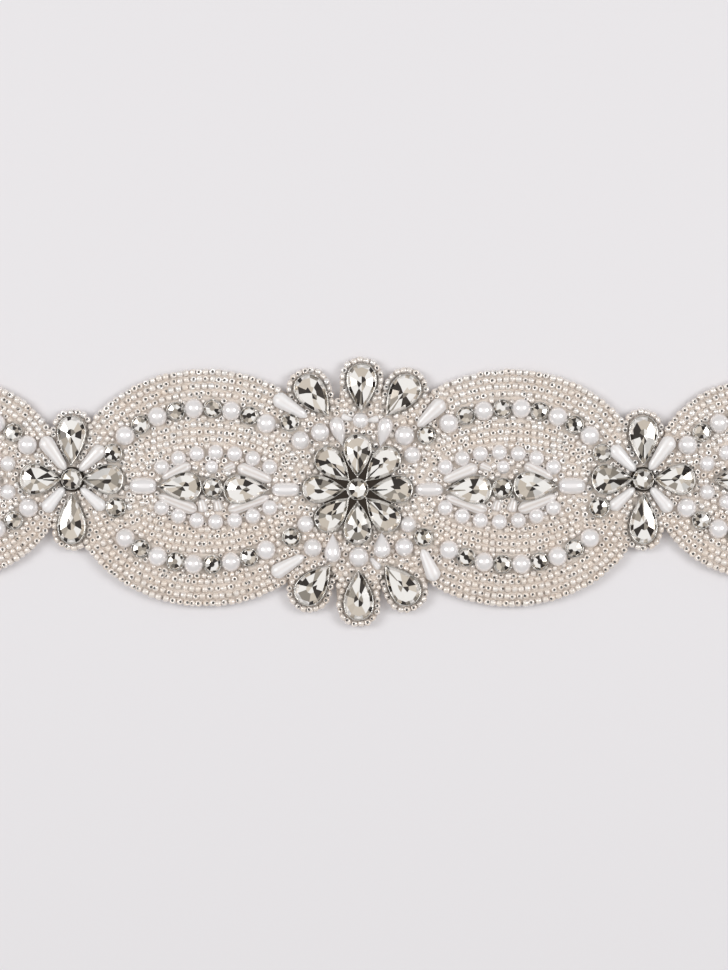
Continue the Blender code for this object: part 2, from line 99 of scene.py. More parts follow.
# Beads of the medallion: x, y, length, width, lean in degrees, kind; a drop's tip leads its lean
MEDALLION_BEADS = (
    (0.8, 18.6, 4.3, 4.3, 0, "pearl"),
    (-15.4, 13.2, 5.0, 5.0, 0, "pearl"),
    (-10.1, 15.4, 5.0, 5.0, 0, "pearl"),
    (12.7, 14.5, 5.4, 5.4, 0, "pearl"),
    (14.8, 9.3, 4.6, 4.6, 0, "pearl"),
    (-14.0, -9.4, 4.6, 4.6, 0, "pearl"),
    (-12.1, -15.8, 5.0, 5.0, 0, "pearl"),
    (0.3, -18.3, 5.4, 5.4, 0, "pearl"),
    (12.6, -15.6, 5.0, 5.0, 0, "pearl"),
    (13.7, -9.5, 4.4, 4.4, 0, "pearl"),
    (-5.0, 15.4, 8.6, 4.2, 286, "drop"),
    (7.1, 15.3, 8.4, 4.2, 256, "drop"),
    (-6.7, -15.8, 8.0, 4.6, 90, "drop"),
    (6.6, -15.0, 7.0, 4.7, 92, "drop"),
    (-18.3, 18.0, 4.4, 4.4, 0, "chaton"),
    (18.6, 14.6, 4.4, 4.4, 0, "chaton"),
    (-17.9, -12.9, 4.4, 4.4, 0, "chaton"),
    (17.8, -13.0, 4.4, 4.4, 0, "chaton"),
)

# Satin glass leaves of the medallion, from the narrow foot: x, y, end x, end y, width
MEDALLION_TUBES = (
    (-14.4, 20.0, -21.8, 24.6, 5.0),
    (16.9, 17.6, 22.6, 23.2, 5.0),
    (-15.2, -18.4, -22.3, -22.6, 4.8),
    (17.8, -17.0, 20.8, -23.8, 4.8),
    (-1.7, 18.9, -4.0, 19.6, 2.4),
    (3.0, 18.6, 5.4, 19.0, 2.4),
    (3.6, -18.8, 5.8, -21.2, 2.4),
)

# The same round each cross flower, from its centre, the first number outward
CROSS_TUBES = (
    (2.2, 3.2, 7.4, 10.6, 5.0),
    (-2.6, 2.8, -8.0, 8.2, 4.6),
    (2.6, -2.8, 7.0, -8.0, 4.4),
    (-2.8, -2.8, -8.2, -7.6, 4.0),
)

# And round the stones of each lobe: lobe, dx, dy, end dx, end dy, width
LOBE_TUBES = (
    ("lobe", -17.4, 2.2, -9.6, 5.4, 3.9),
    ("lobe", -16.8, -2.6, -7.0, -5.8, 3.9),
    ("lobe", -5.4, 5.0, -7.8, 6.0, 2.6),
    ("lobe", 10.8, 2.8, 4.4, 5.9, 3.7),
    ("lobe", 11.8, -2.4, 2.8, -5.8, 4.0),
    ("lobe", 0.9, -3.6, 0.3, -6.0, 3.0),
    ("lobe", -3.4, -3.8, -3.9, -5.8, 3.0),
    ("end_lobe", -6.4, 4.2, -2.6, 4.7, 1.8),
    ("end_lobe", -6.4, -4.0, -2.6, -4.4, 1.8),
    ("end_lobe", 1.6, 4.4, 5.2, 3.9, 1.8),
    ("end_lobe", 1.6, -4.2, 5.2, -3.8, 1.8),
)

# Width of a leaf's and a tube's foot against its far end, and how milky each may be
SATIN_FOOT = {"leaf": 0.44, "tube": 0.66}
SATIN_SHADES = {"leaf": (0.6, 1.0), "tube": (0.1, 0.5)}

# Pearls that only close a gap, too small to stand out of the panel's solid
LOBE_GAP_PEARLS = (("lobe", -1.9, 5.6, 3.7), ("end_lobe", -0.6, 4.6, 3.0), ("end_lobe", -0.6, -4.3, 3.0))

# Stones: tip distances and sizes as the maker sews them
FLOWER_PETALS = 8
FLOWER_TIP_R = 3.5
FLOWER_PETAL = (11.1, 7.0)
FLOWER_CENTRE_D = 5.4
FAN_STONES = (
    (-8.0, 20.0, 126, 12.5, 7.6),
    (1.1, 21.2, 90, 12.5, 7.6),
    (8.0, 20.0, 54, 12.5, 7.6),
    (-7.6, -20.6, 231, 12.5, 7.6),
    (0.3, -22.1, 270, 13.0, 7.6),
    (7.6, -20.6, 309, 12.5, 7.6),
)
CROSS_STONES = ((4.1, 90, 12.8, 7.2), (3.1, 0, 10.6, 7.8), (4.0, 270, 13.2, 7.0), (3.1, 180, 10.6, 7.6))
CROSS_CENTRE_D = 5.2
LOBE_STONES = (
    ("lobe", -17.0, 0, 11.6, 7.4),
    ("lobe", 12.2, 180, 11.2, 7.4),
    ("end_lobe", -13.4, 0, 9.6, 6.6),
    ("end_lobe", 9.6, 180, 9.6, 6.6),
)
LOBE_CHATON = {"lobe": (-2.2, 5.0), "end_lobe": (-1.9, 3.2)}
LOBE_RISE = 0.03
CENTRES = {"lobe": LOBE[:2], "end_lobe": END_LOBE[:2]}

# Heights of a set stone: its metal seat, its girdle and its table facet
CUP_LOW = 1.35
STONE_SEAT = 3.2
STONE_TABLE = 5.8
SETTING_LIP = 0.3
PLATE_R = {"flower": 9.8, "cross_left": 3.4, "cross_right": 3.4}

# Seed beads: size, the pitch of a row, and how close a bead may come to its neighbours
SEED_R = 0.97
SEED_LENGTH = 1.66
SEED_HOLE_R = 0.34
SEED_PITCH = 1.74
SEED_CLEAR = 1.62
SEED_EDGE = 0.75
ROW_STEP = 1.93

# Below this y the seed beads' tones are lowered, darker towards the bottom as painted shade
LOW_ROWS = -7.0
LOW_ROW_SHADE = 0.5

# Ribbon ties
RIBBON_WIDE = 38.0
RIBBON_THICK = 0.45
RIBBON_START = 130.0
FOLD_INNER = 150.6
FOLD_OUTER = 244.4
FOLD_LAYERS = 9
FOLD_PITCH = 1.3
CUT_SLANT = 20.0
RIBBON_RIPPLE = 0.75

rng = random.Random(20)


# Shader groups and materials


def new_group(name, inputs, outputs):
    """An empty shader node group with float or colour sockets."""
    group = bpy.data.node_groups.new(name, "ShaderNodeTree")
    for label, kind, value in inputs:
        socket = group.interface.new_socket(label, in_out="INPUT", socket_type=kind)
        socket.default_value = value
    for label, kind in outputs:
        group.interface.new_socket(label, in_out="OUTPUT", socket_type=kind)
    return group


def add_node(tree, kind, **settings):
    """A node with its settings; a setting whose name is a socket's goes to that socket."""
    node = tree.nodes.new(kind)
    for label, value in settings.items():
        if hasattr(node, label):
            setattr(node, label, value)
        else:
            node.inputs[label.replace("_", " ")].default_value = value
    return node


def ramp_node(tree, stops):
    """A colour ramp with the given positions and colours."""
    node = tree.nodes.new("ShaderNodeValToRGB")
    band = node.color_ramp
    while len(band.elements) < len(stops):
        band.elements.new(0.5)
    for element, (position, colour) in zip(band.elements, stops):
        element.position = position
        element.color = tuple(colour) + (1.0,)
    return node


def make_mottle_group():
    """Fine grain and slow drift of tone: a mask from 0 to 1 and a height."""
    group = new_group(
        "mottle",
        (("Grain", "NodeSocketFloat", 900.0), ("Drift", "NodeSocketFloat", 60.0)),
        (("Mask", "NodeSocketFloat"), ("Height", "NodeSocketFloat")),
    )
    source = group.nodes.new("NodeGroupInput")
    sink = group.nodes.new("NodeGroupOutput")
    place = group.nodes.new("ShaderNodeTexCoord")
    fine = add_node(group, "ShaderNodeTexNoise", Detail=4.0, Roughness=0.6)
    slow = add_node(group, "ShaderNodeTexNoise", Detail=2.0, Roughness=0.5)
    blend = add_node(group, "ShaderNodeMath", operation="MULTIPLY_ADD")
    blend.inputs[1].default_value = 0.45
    share = add_node(group, "ShaderNodeMath", operation="MULTIPLY")
    share.inputs[1].default_value = 0.55
    link = group.links.new
    link(place.outputs["Object"], fine.inputs["Vector"])
    link(place.outputs["Object"], slow.inputs["Vector"])
    link(source.outputs["Grain"], fine.inputs["Scale"])
    link(source.outputs["Drift"], slow.inputs["Scale"])
    link(slow.outputs["Fac"], share.inputs[0])
    link(fine.outputs["Fac"], blend.inputs[0])
    link(share.outputs[0], blend.inputs[2])
    link(blend.outputs[0], sink.inputs["Mask"])
    link(fine.outputs["Fac"], sink.inputs["Height"])
    return group


def make_weave_group():
    """Crossed threads read from a vector in metres: a mask and a height."""
    group = new_group(
        "weave",
        (
            ("Vector", "NodeSocketVector", (0.0, 0.0, 0.0)),
            ("Threads", "NodeSocketFloat", 2500.0),
            ("Twill", "NodeSocketFloat", 0.5),
        ),
        (("Mask", "NodeSocketFloat"), ("Height", "NodeSocketFloat")),
    )
    source = group.nodes.new("NodeGroupInput")
    sink = group.nodes.new("NodeGroupOutput")
    split = group.nodes.new("ShaderNodeSeparateXYZ")
    link = group.links.new
    link(source.outputs["Vector"], split.inputs[0])
    waves = []
    for axis, other in (("X", "Y"), ("Y", "X")):
        lean = add_node(group, "ShaderNodeMath", operation="MULTIPLY")
        along = add_node(group, "ShaderNodeMath", operation="ADD")
        turn = add_node(group, "ShaderNodeMath", operation="MULTIPLY")
        wave = add_node(group, "ShaderNodeMath", operation="SINE")
        link(split.outputs[other], lean.inputs[0])
        link(source.outputs["Twill"], lean.inputs[1])
        link(split.outputs[axis], along.inputs[0])
        link(lean.outputs[0], along.inputs[1])
        link(along.outputs[0], turn.inputs[0])
        link(source.outputs["Threads"], turn.inputs[1])
        link(turn.outputs[0], wave.inputs[0])
        waves.append(wave)
    total = add_node(group, "ShaderNodeMath", operation="ADD")
    scale = add_node(group, "ShaderNodeMath", operation="MULTIPLY_ADD")
    scale.inputs[1].default_value = 0.25
    scale.inputs[2].default_value = 0.5
    link(waves[0].outputs[0], total.inputs[0])
    link(waves[1].outputs[0], total.inputs[1])
    link(total.outputs[0], scale.inputs[0])
    link(scale.outputs[0], sink.inputs["Mask"])
    link(scale.outputs[0], sink.inputs["Height"])
    return group


def new_material(name, **settings):
    """A Principled material; returns it with its tree and shader."""
    made = bpy.data.materials.new(name)
    made.use_nodes = True
    tree = made.node_tree
    shader = tree.nodes["Principled BSDF"]
    for label, value in settings.items():
        shader.inputs[label.replace("_", " ")].default_value = value
    return made, tree, shader


def place_group(tree, group, **values):
    """Puts a shader group in a material with its own values."""
    node = tree.nodes.new("ShaderNodeGroup")
    node.node_tree = group
    for label, value in values.items():
        node.inputs[label].default_value = value
    return node


def add_bump(tree, shader, height, distance, strength=1.0):
    """Feeds a height to the shader's normal."""
    bump = add_node(tree, "ShaderNodeBump", Strength=strength, Distance=distance)
    tree.links.new(height, bump.inputs["Height"])
    tree.links.new(bump.outputs["Normal"], shader.inputs["Normal"])


def make_seed_material(mottle):
    """Silver-lined champagne glass: pale body, each bead with its own tone, and painted shade near black
    inside the bore.
    """
    made, tree, shader = new_material(
        "seed_glass", Roughness=0.14, IOR=1.5, Coat_Weight=1.0, Coat_Roughness=0.04, Coat_IOR=1.9,
        Subsurface_Weight=0.55, Subsurface_Scale=0.0018, Subsurface_Radius=(1.0, 0.96, 0.92))
    tone = add_node(tree, "ShaderNodeAttribute", attribute_name="tone")
    core = add_node(tree, "ShaderNodeAttribute", attribute_name="core")
    body = ramp_node(tree, (
        (0.0, (0.82, 0.69, 0.59)), (0.35, (0.905, 0.805, 0.73)),
        (0.75, (0.96, 0.885, 0.825)), (1.0, (0.985, 0.945, 0.915)),
    ))
    # Painted shade: the bore's points, marked as core, are mixed to near black.
    bore_shade = add_node(tree, "ShaderNodeMix", data_type="RGBA", clamp_factor=True)
    bore_shade.inputs["B"].default_value = (0.03, 0.022, 0.016, 1.0)
    shine = add_node(tree, "ShaderNodeMapRange")
    shine.inputs["To Min"].default_value = 0.05
    shine.inputs["To Max"].default_value = 0.5
    bore = add_node(tree, "ShaderNodeMapRange")
    bore.inputs["From Min"].default_value = 0.75
    bore.inputs["From Max"].default_value = 0.95
    grain = place_group(tree, mottle, Grain=1500.0, Drift=500.0)
    link = tree.links.new
    link(tone.outputs["Fac"], body.inputs["Fac"])
    link(core.outputs["Fac"], bore.inputs["Value"])
    link(bore.outputs["Result"], bore_shade.inputs["Factor"])
    link(body.outputs["Color"], bore_shade.inputs["A"])
    link(bore_shade.outputs["Result"], shader.inputs["Base Color"])
    link(tone.outputs["Fac"], shine.inputs["Value"])
    link(shine.outputs["Result"], shader.inputs["Metallic"])
    add_bump(tree, shader, grain.outputs["Height"], 0.0001)
    return made


def make_pearl_material(mottle):
    """A white pearl coat, soft below and glossy above."""
    made, tree, shader = new_material(
        "pearl_coat", Metallic=0.28, Roughness=0.22, Coat_Weight=1.0, Coat_Roughness=0.13, Coat_IOR=2.2,
        Sheen_Weight=0.7, Sheen_Roughness=0.3)
    tone = add_node(tree, "ShaderNodeAttribute", attribute_name="tone")
    body = ramp_node(tree, ((0.0, (0.93, 0.895, 0.89)), (1.0, (0.98, 0.95, 0.955))))
    grain = place_group(tree, mottle, Grain=1300.0, Drift=240.0)
    link = tree.links.new
    link(tone.outputs["Fac"], body.inputs["Fac"])
    link(body.outputs["Color"], shader.inputs["Base Color"])
    add_bump(tree, shader, grain.outputs["Height"], 0.00002)
    return made


def make_crystal_material():
    """Foil-backed crystal: mirror-like facets, each painted a tone from near black to white as painted
    reflection of what the stone shows.
    """
    made, tree, shader = new_material(
        "cut_crystal", Roughness=0.05, Metallic=0.68, Coat_Weight=0.35, Coat_Roughness=0.02)
    tone = add_node(tree, "ShaderNodeAttribute", attribute_name="facet")
    # Painted reflection: facet tones from near black to white stand in for what each facet reflects.
    facet = ramp_node(tree, (
        (0.0, (0.017, 0.013, 0.011)), (0.16, (0.055, 0.045, 0.037)), (0.24, (0.26, 0.235, 0.20)),
        (0.34, (0.40, 0.355, 0.30)), (0.44, (0.56, 0.49, 0.405)), (0.56, (0.74, 0.67, 0.58)),
        (0.66, (0.95, 0.915, 0.87)), (1.0, (0.99, 0.97, 0.94)),
    ))
    tree.links.new(tone.outputs["Fac"], facet.inputs["Fac"])
    tree.links.new(facet.outputs["Color"], shader.inputs["Base Color"])
    return made


def make_silver_material(mottle):
    """White metal of the stone settings, a little tarnished, and near black where marked as core: tarnish
    and painted shade low in the cups and on the plates.
    """
    made, tree, shader = new_material("setting_silver", Metallic=1.0)
    grain = place_group(tree, mottle, Grain=1800.0, Drift=320.0)
    core = add_node(tree, "ShaderNodeAttribute", attribute_name="core")
    # Tarnish and painted shade: points marked as core are mixed to near black.
    tarnish_and_shade = add_node(tree, "ShaderNodeMix", data_type="RGBA", clamp_factor=True)
    tarnish_and_shade.inputs["B"].default_value = (0.05, 0.04, 0.032, 1.0)
    stops = ((0.3, (0.42, 0.39, 0.36)), (0.5, (0.72, 0.70, 0.67)), (0.75, (0.90, 0.89, 0.87)))
    colour = ramp_node(tree, stops)
    polish = add_node(tree, "ShaderNodeMapRange")
    polish.inputs["To Min"].default_value = 0.34
    polish.inputs["To Max"].default_value = 0.12
    link = tree.links.new
    link(grain.outputs["Mask"], colour.inputs["Fac"])
    link(core.outputs["Fac"], tarnish_and_shade.inputs["Factor"])
    link(colour.outputs["Color"], tarnish_and_shade.inputs["A"])
    link(tarnish_and_shade.outputs["Result"], shader.inputs["Base Color"])
    link(grain.outputs["Mask"], polish.inputs["Value"])
    link(polish.outputs["Result"], shader.inputs["Roughness"])
    add_bump(tree, shader, grain.outputs["Height"], 0.00002)
    return made


def make_satin_glass_material(mottle):
    """Satin glass of the tubes and leaves, from nearly clear over the ground to milk white, with white fibre
    streaks on the flute ridges that are partly painted sheen.
    """
    made, tree, shader = new_material(
        "satin_glass", Roughness=0.34, Coat_Weight=0.9, Coat_Roughness=0.1,
        Subsurface_Weight=0.3, Subsurface_Scale=0.0015, Subsurface_Radius=(1.0, 0.95, 0.95))
    tone = add_node(tree, "ShaderNodeAttribute", attribute_name="tone")
    core = add_node(tree, "ShaderNodeAttribute", attribute_name="core")
    grain = place_group(tree, mottle, Grain=1100.0, Drift=260.0)
    stops = ((0.0, (0.61, 0.54, 0.50)), (0.4, (0.72, 0.665, 0.63)), (1.0, (0.86, 0.835, 0.83)))
    colour = ramp_node(tree, stops)
    fibre_streaks_and_sheen = add_node(tree, "ShaderNodeMix", data_type="RGBA", clamp_factor=True)
    fibre_streaks_and_sheen.inputs["B"].default_value = (0.97, 0.96, 0.965, 1.0)
    link = tree.links.new
    link(tone.outputs["Fac"], colour.inputs["Fac"])
    link(core.outputs["Fac"], fibre_streaks_and_sheen.inputs["Factor"])
    link(colour.outputs["Color"], fibre_streaks_and_sheen.inputs["A"])
    link(fibre_streaks_and_sheen.outputs["Result"], shader.inputs["Base Color"])
    add_bump(tree, shader, grain.outputs["Height"], 0.00005)
    return made


def make_ground_material(mottle, weave):
    """Cream ground cloth: a close net over felt."""
    made, tree, shader = new_material("ground_cloth", Roughness=0.85, Sheen_Weight=0.25, Sheen_Roughness=0.5)
    place = tree.nodes.new("ShaderNodeTexCoord")
    threads = place_group(tree, weave, Threads=9000.0, Twill=0.0)
    grain = place_group(tree, mottle, Grain=1400.0, Drift=90.0)
    stops = ((0.2, (0.65, 0.565, 0.495)), (0.5, (0.73, 0.655, 0.59)), (0.85, (0.82, 0.755, 0.70)))
    colour = ramp_node(tree, stops)
    total = add_node(tree, "ShaderNodeMath", operation="ADD")
    link = tree.links.new
    link(place.outputs["Object"], threads.inputs["Vector"])
    link(grain.outputs["Mask"], colour.inputs["Fac"])
    link(colour.outputs["Color"], shader.inputs["Base Color"])
    link(threads.outputs["Height"], total.inputs[0])
    link(grain.outputs["Height"], total.inputs[1])
    add_bump(tree, shader, total.outputs[0], 0.00012)
    return made


def make_ribbon_material(mottle, weave):
    """White satin: long floats across a fine warp, read from the ribbon's own map."""
    made, tree, shader = new_material(
        "ribbon_satin", Roughness=0.33, Anisotropic=0.6, Sheen_Weight=0.35, Sheen_Roughness=0.35,
        Coat_Weight=0.15, Coat_Roughness=0.3)
    place = tree.nodes.new("ShaderNodeUVMap")
    threads = place_group(tree, weave, Threads=16000.0, Twill=0.25)
    grain = place_group(tree, mottle, Grain=700.0, Drift=45.0)
    colour = ramp_node(tree, ((0.2, (0.82, 0.79, 0.77)), (0.8, (0.93, 0.915, 0.91))))
    polish = add_node(tree, "ShaderNodeMapRange")
    polish.inputs["To Min"].default_value = 0.28
    polish.inputs["To Max"].default_value = 0.42
    link = tree.links.new
    link(place.outputs["UV"], threads.inputs["Vector"])
    link(grain.outputs["Mask"], colour.inputs["Fac"])
    link(colour.outputs["Color"], shader.inputs["Base Color"])
    link(threads.outputs["Mask"], polish.inputs["Value"])
    link(polish.outputs["Result"], shader.inputs["Roughness"])
    add_bump(tree, shader, threads.outputs["Height"], 0.00004)
    return made


MOTTLE = make_mottle_group()
WEAVE = make_weave_group()
SEED_GLASS = make_seed_material(MOTTLE)
PEARL_COAT = make_pearl_material(MOTTLE)
CUT_CRYSTAL = make_crystal_material()
SETTING_SILVER = make_silver_material(MOTTLE)
SATIN_GLASS = make_satin_glass_material(MOTTLE)
GROUND_CLOTH = make_ground_material(MOTTLE, WEAVE)
RIBBON_SATIN = make_ribbon_material(MOTTLE, WEAVE)


# The outline and the heights of the ground


def fan_heads(side):
    """Rounded heads of the fan above (side 1) or below (side -1) the flower."""
    heads = []
    for tip_x, tip_y, lean, length, width in FAN_STONES:
        if tip_y * side > 0:
            reach = length - width / 2
            x = tip_x + reach * math.cos(math.radians(lean))
            y = tip_y + reach * math.sin(math.radians(lean))
            heads.append((x, y, FAN_HEAD_R, FAN_HEAD_R))
    return heads


def scallops(side):
    """Half ellipses whose outer hull is one edge of the sash."""
    found = [FAN_ROOT] + fan_heads(side)
    for mirror in (-1, 1):
        found.append((mirror * LOBE[0],) + LOBE[1:])
        found.append((mirror * END_LOBE[0],) + END_LOBE[1:])
        found.append((mirror * CROSS[0], CROSS[1] + side * CROSS_PETAL_RISE) + CROSS_PETAL_HALF)
    return found


SCALLOPS = {side: scallops(side) for side in (-1, 1)}


def edge_height(x, side, inset=0.0):
    """Y of the sash's edge at x, drawn in by an inset; None past the sash's ends."""
    reach = []
    for centre_x, centre_y, half_width, half_height in SCALLOPS[side]:
        share = (x - centre_x) / (half_width - inset)
        if abs(share) <= 1.0:
            reach.append(side * centre_y + (half_height - inset) * math.sqrt(1.0 - share * share))
    return side * max(reach) if reach else None


def inside_outline(x, y, inset):
    """True where a bead at x, y lies inside the sash's edge by the inset, judged along Y."""
    side = 1 if y > 0 else -1
    edge = edge_height(x, side, inset)
    return edge is not None and y * side <= edge * side


def climb(x):
    """Height that the applique gains at x on its way onto the ribbon."""
    share = (abs(x) - RAMP[0]) / (RAMP[1] - RAMP[0])
    return RAMP[2] * min(max(share, 0.0), 1.0)


def panel_of(x):
    """Name of the beadwork panel at x."""
    for name, seam in PANELS:
        if abs(x) < seam:
            return name if name == "medallion" else f"{name}_{'left' if x < 0 else 'right'}"
    return None


# Finishing and copying meshes


def finish_piece(bm, name, materials, nodes=(), smooth=True):
    """Turns a bmesh in millimetres into a finished piece that rides on the sash."""
    bmesh.ops.transform(bm, matrix=TO_WORLD, verts=bm.verts)
    mesh = bpy.data.meshes.new(name)
    bm.to_mesh(mesh)
    bm.free()
    return finish_mesh(mesh, name, materials, nodes, smooth)


def finish_mesh(mesh, name, materials, nodes=(), smooth=True):
    """Links a finished mesh with its materials and body, and hides the CAD parts that it stands for."""
    for made in materials:
        mesh.materials.append(made)
    mesh.polygons.foreach_set("use_smooth", [smooth] * len(mesh.polygons))
    piece = bpy.data.objects.new(name, mesh)
    bpy.context.scene.collection.objects.link(piece)
    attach(piece, "root")
    if nodes:
        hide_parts(*nodes)
    return piece


def scatter(name, batches, material, nodes=(), smooth=True):
    """Joins copies of modelled shapes into one mesh; a batch is a shape, its places and its tones."""
    points, corners, starts, tones, cores, facets = [], [], [], [], [], []
    for shape, places, shades in batches:
        copies = len(places)
        spots = np.array([tuple(vert.co) + (1.0,) for vert in shape.vertices])
        loops = np.array([corner.vertex_index for corner in shape.loops])
        firsts = np.array([face.loop_start for face in shape.polygons])
        matrices = np.array([TO_WORLD @ place for place in places])
        placed = np.einsum("nij,vj->nvi", matrices, spots)[:, :, :3].reshape(-1, 3)
        corners.append(tile(loops, copies, len(spots)) + sum(len(done) for done in points))
        starts.append(tile(firsts, copies, len(loops)) + sum(len(done) for done in corners[:-1]))
        points.append(placed)
        tones.append(np.repeat(np.array(shades), len(spots)))
        cores.append(np.tile(read_attribute(shape, "core", len(spots)), copies))
        facets.append(np.tile(read_attribute(shape, "facet", len(firsts)), copies))
    mesh = bpy.data.meshes.new(name)
    fill_mesh(mesh, np.concatenate(points), np.concatenate(corners), np.concatenate(starts))
    give_attribute(mesh, "tone", "POINT", np.concatenate(tones))
    give_attribute(mesh, "core", "POINT", np.concatenate(cores))
    give_attribute(mesh, "facet", "FACE", np.concatenate(facets))
    return finish_mesh(mesh, name, (material,), nodes, smooth)


def fill_mesh(mesh, points, corners, starts):
    """Writes joined copies into an empty mesh."""
    mesh.vertices.add(len(points))
    mesh.vertices.foreach_set("co", points.astype(np.float32).ravel())
    mesh.loops.add(len(corners))
    mesh.loops.foreach_set("vertex_index", corners.astype(np.int32))
    mesh.polygons.add(len(starts))
    mesh.polygons.foreach_set("loop_start", starts.astype(np.int32))
    mesh.update(calc_edges=True)


def read_attribute(mesh, name, count):
    """One number for each element of a mesh, or zeros where it has none."""
    values = np.zeros(count, np.float32)
    if name in mesh.attributes:
        mesh.attributes[name].data.foreach_get("value", values)
    return values


def tile(indices, copies, step):
    """Repeats a list of indices, each copy moved on by step."""
    return (indices[None, :] + step * np.arange(copies)[:, None]).astype(np.int32).ravel()


def give_attribute(mesh, name, domain, values):
    """Stores one number for each point or face."""
    attribute = mesh.attributes.new(name, "FLOAT", domain)
    attribute.data.foreach_set("value", values.astype(np.float32))


def shape_mesh(bm, name):
    """A hidden mesh to copy from."""
    mesh = bpy.data.meshes.new(name)
    bm.to_mesh(mesh)
    bm.free()
    return mesh


def lay_along(x, y, z, lean, tilt=0.0, scale=(1.0, 1.0, 1.0)):
    """A place whose own Z lies along a lean in degrees in plan, raised by a tilt."""
    turn = math.radians(lean)
    rise = math.radians(tilt)
    way = Vector((math.cos(turn) * math.cos(rise), math.sin(turn) * math.cos(rise), math.sin(rise)))
    spin = way.to_track_quat("Z", "Y").to_matrix().to_4x4()
    return Matrix.Translation((x, y, z + climb(x))) @ spin @ Matrix.Diagonal(scale + (1.0,))


# Shapes that are copied


def make_seed_shape():
    """A rounded glass tube bead along Z; the points of its bore's two mouths are marked as core, where the
    seed glass paints shade near black.
    """
    bm = bmesh.new()
    half = SEED_LENGTH / 2
    profile = (
        (0.0, -half * 0.3), (SEED_HOLE_R, -half * 0.88), (SEED_R * 0.74, -half), (SEED_R, -half * 0.45),
        (SEED_R, half * 0.45), (SEED_R * 0.74, half), (SEED_HOLE_R, half * 0.88), (0.0, half * 0.3),
    )
    verts = [bm.verts.new((radius, 0.0, z)) for radius, z in profile]
    edges = [bm.edges.new(pair) for pair in zip(verts, verts[1:])]
    bmesh.ops.spin(
        bm, geom=verts + edges, cent=(0, 0, 0), axis=(0, 0, 1), dvec=(0, 0, 0),
        angle=math.tau, steps=8, use_merge=True, use_duplicate=False)
    bmesh.ops.remove_doubles(bm, verts=bm.verts, dist=0.001)
    bmesh.ops.recalc_face_normals(bm, faces=bm.faces)
    core = bm.verts.layers.float.new("core")
    for vert in bm.verts:
        vert[core] = 1.0 if math.hypot(vert.co.x, vert.co.y) < SEED_HOLE_R * 1.1 else 0.0
    return shape_mesh(bm, "seed_shape")


def make_round_shape():
    """A unit pearl."""
    bm = bmesh.new()
    bmesh.ops.create_uvsphere(bm, u_segments=22, v_segments=12, radius=0.5)
    return shape_mesh(bm, "round_shape")


def make_oblong_shape():
    """A unit rice pearl along Z with full, rounded ends."""
    bm = bmesh.new()
    bmesh.ops.create_uvsphere(bm, u_segments=16, v_segments=14, radius=0.5)
    for vert in bm.verts:
        height = abs(vert.co.z) * 2
        girth = math.hypot(vert.co.x, vert.co.y)
        full = 0.5 * (1 - height ** 3.2) ** 0.42 if height < 1 else 0.0
        if girth > 1e-6:
            vert.co.x *= full / girth
            vert.co.y *= full / girth
    return shape_mesh(bm, "oblong_shape")


def make_drop_shape():
    """A unit drop pearl along Z, its tip at the top."""
    bm = bmesh.new()
    bmesh.ops.create_uvsphere(bm, u_segments=16, v_segments=16, radius=0.5)
    for vert in bm.verts:
        angle = math.acos(max(-1.0, min(1.0, vert.co.z * 2)))
        girth = math.hypot(vert.co.x, vert.co.y)
        full = 0.5 * math.sin(angle) * math.sin(angle / 2) ** 1.3 / 0.725
        if girth > 1e-6:
            vert.co.x *= full / girth
            vert.co.y *= full / girth
    return shape_mesh(bm, "drop_shape")


def make_tube_shape(foot):
    """A unit satin leaf along Z: fluted, its foot a share of the width of its round far end."""
    bm = bmesh.new()
    bmesh.ops.create_uvsphere(bm, u_segments=16, v_segments=12, radius=0.5)
    core = bm.verts.layers.float.new("core")
    for vert in bm.verts:
        share = vert.co.z + 0.5
        girth = math.hypot(vert.co.x, vert.co.y)
        if girth < 1e-6:
            continue
        ridge = 0.5 - 0.5 * math.cos(8 * math.atan2(vert.co.y, vert.co.x))
        # The flute ridges are marked as core: fibre streaks painted white, which also stand in for painted
        # sheen.
        vert[core] = 0.75 * ridge
        flute = 1.0 - 0.09 * (1 - ridge)
        ends = min(1.0, share * 7) ** 0.5 * min(1.0, (1 - share) * 6) ** 0.5
        full = 0.5 * (foot + (1 - foot) * share) * ends * flute
        vert.co.x *= full / girth
        vert.co.y *= full / girth
    return shape_mesh(bm, "tube_shape")


# Cut stones and their settings


def pear_outline(angle, length, width, outset):
    """Point of a pear outline, tip at the origin and round head towards +X, at an angle."""
    along = (length / 2 + outset) * (1 - math.cos(angle)) - outset
    across = (width / 2 + outset) * math.sin(angle) * math.sin(angle / 2) / 0.77
    return along, across


def round_outline(angle, length, width, outset):
    """Point of a round stone's outline about the origin."""
    return -(length / 2 + outset) * math.cos(angle), (width / 2 + outset) * math.sin(angle)


def lay_ring(bm, verts, turn, ring, outline, size, place):
    """Moves a ring of points onto its share of an outline, at its height."""
    share, outset, height, coarse = ring
    length, width = size
    middle = length * 0.6 if outline is pear_outline else 0.0
    step = math.tau / len(verts)
    core = bm.verts.layers.float.get("core")
    for vert in verts:
        # Cup points below 3.8 mm are marked as core, which the silver darkens: tarnish and painted shade
        # down the walls.
        if core:
            vert[core] = 1.0 if height < 3.8 else 0.0
        angles = (vert[turn],)
        if coarse and round(vert[turn] / step) % 2:
            angles = (vert[turn] - step, vert[turn] + step)
        spots = [outline(angle, length, width, outset) for angle in angles]
        x = sum(spot[0] for spot in spots) / len(spots)
        y = sum(spot[1] for spot in spots) / len(spots)
        vert.co = place @ Vector((middle + share * (x - middle), -share * y, height))


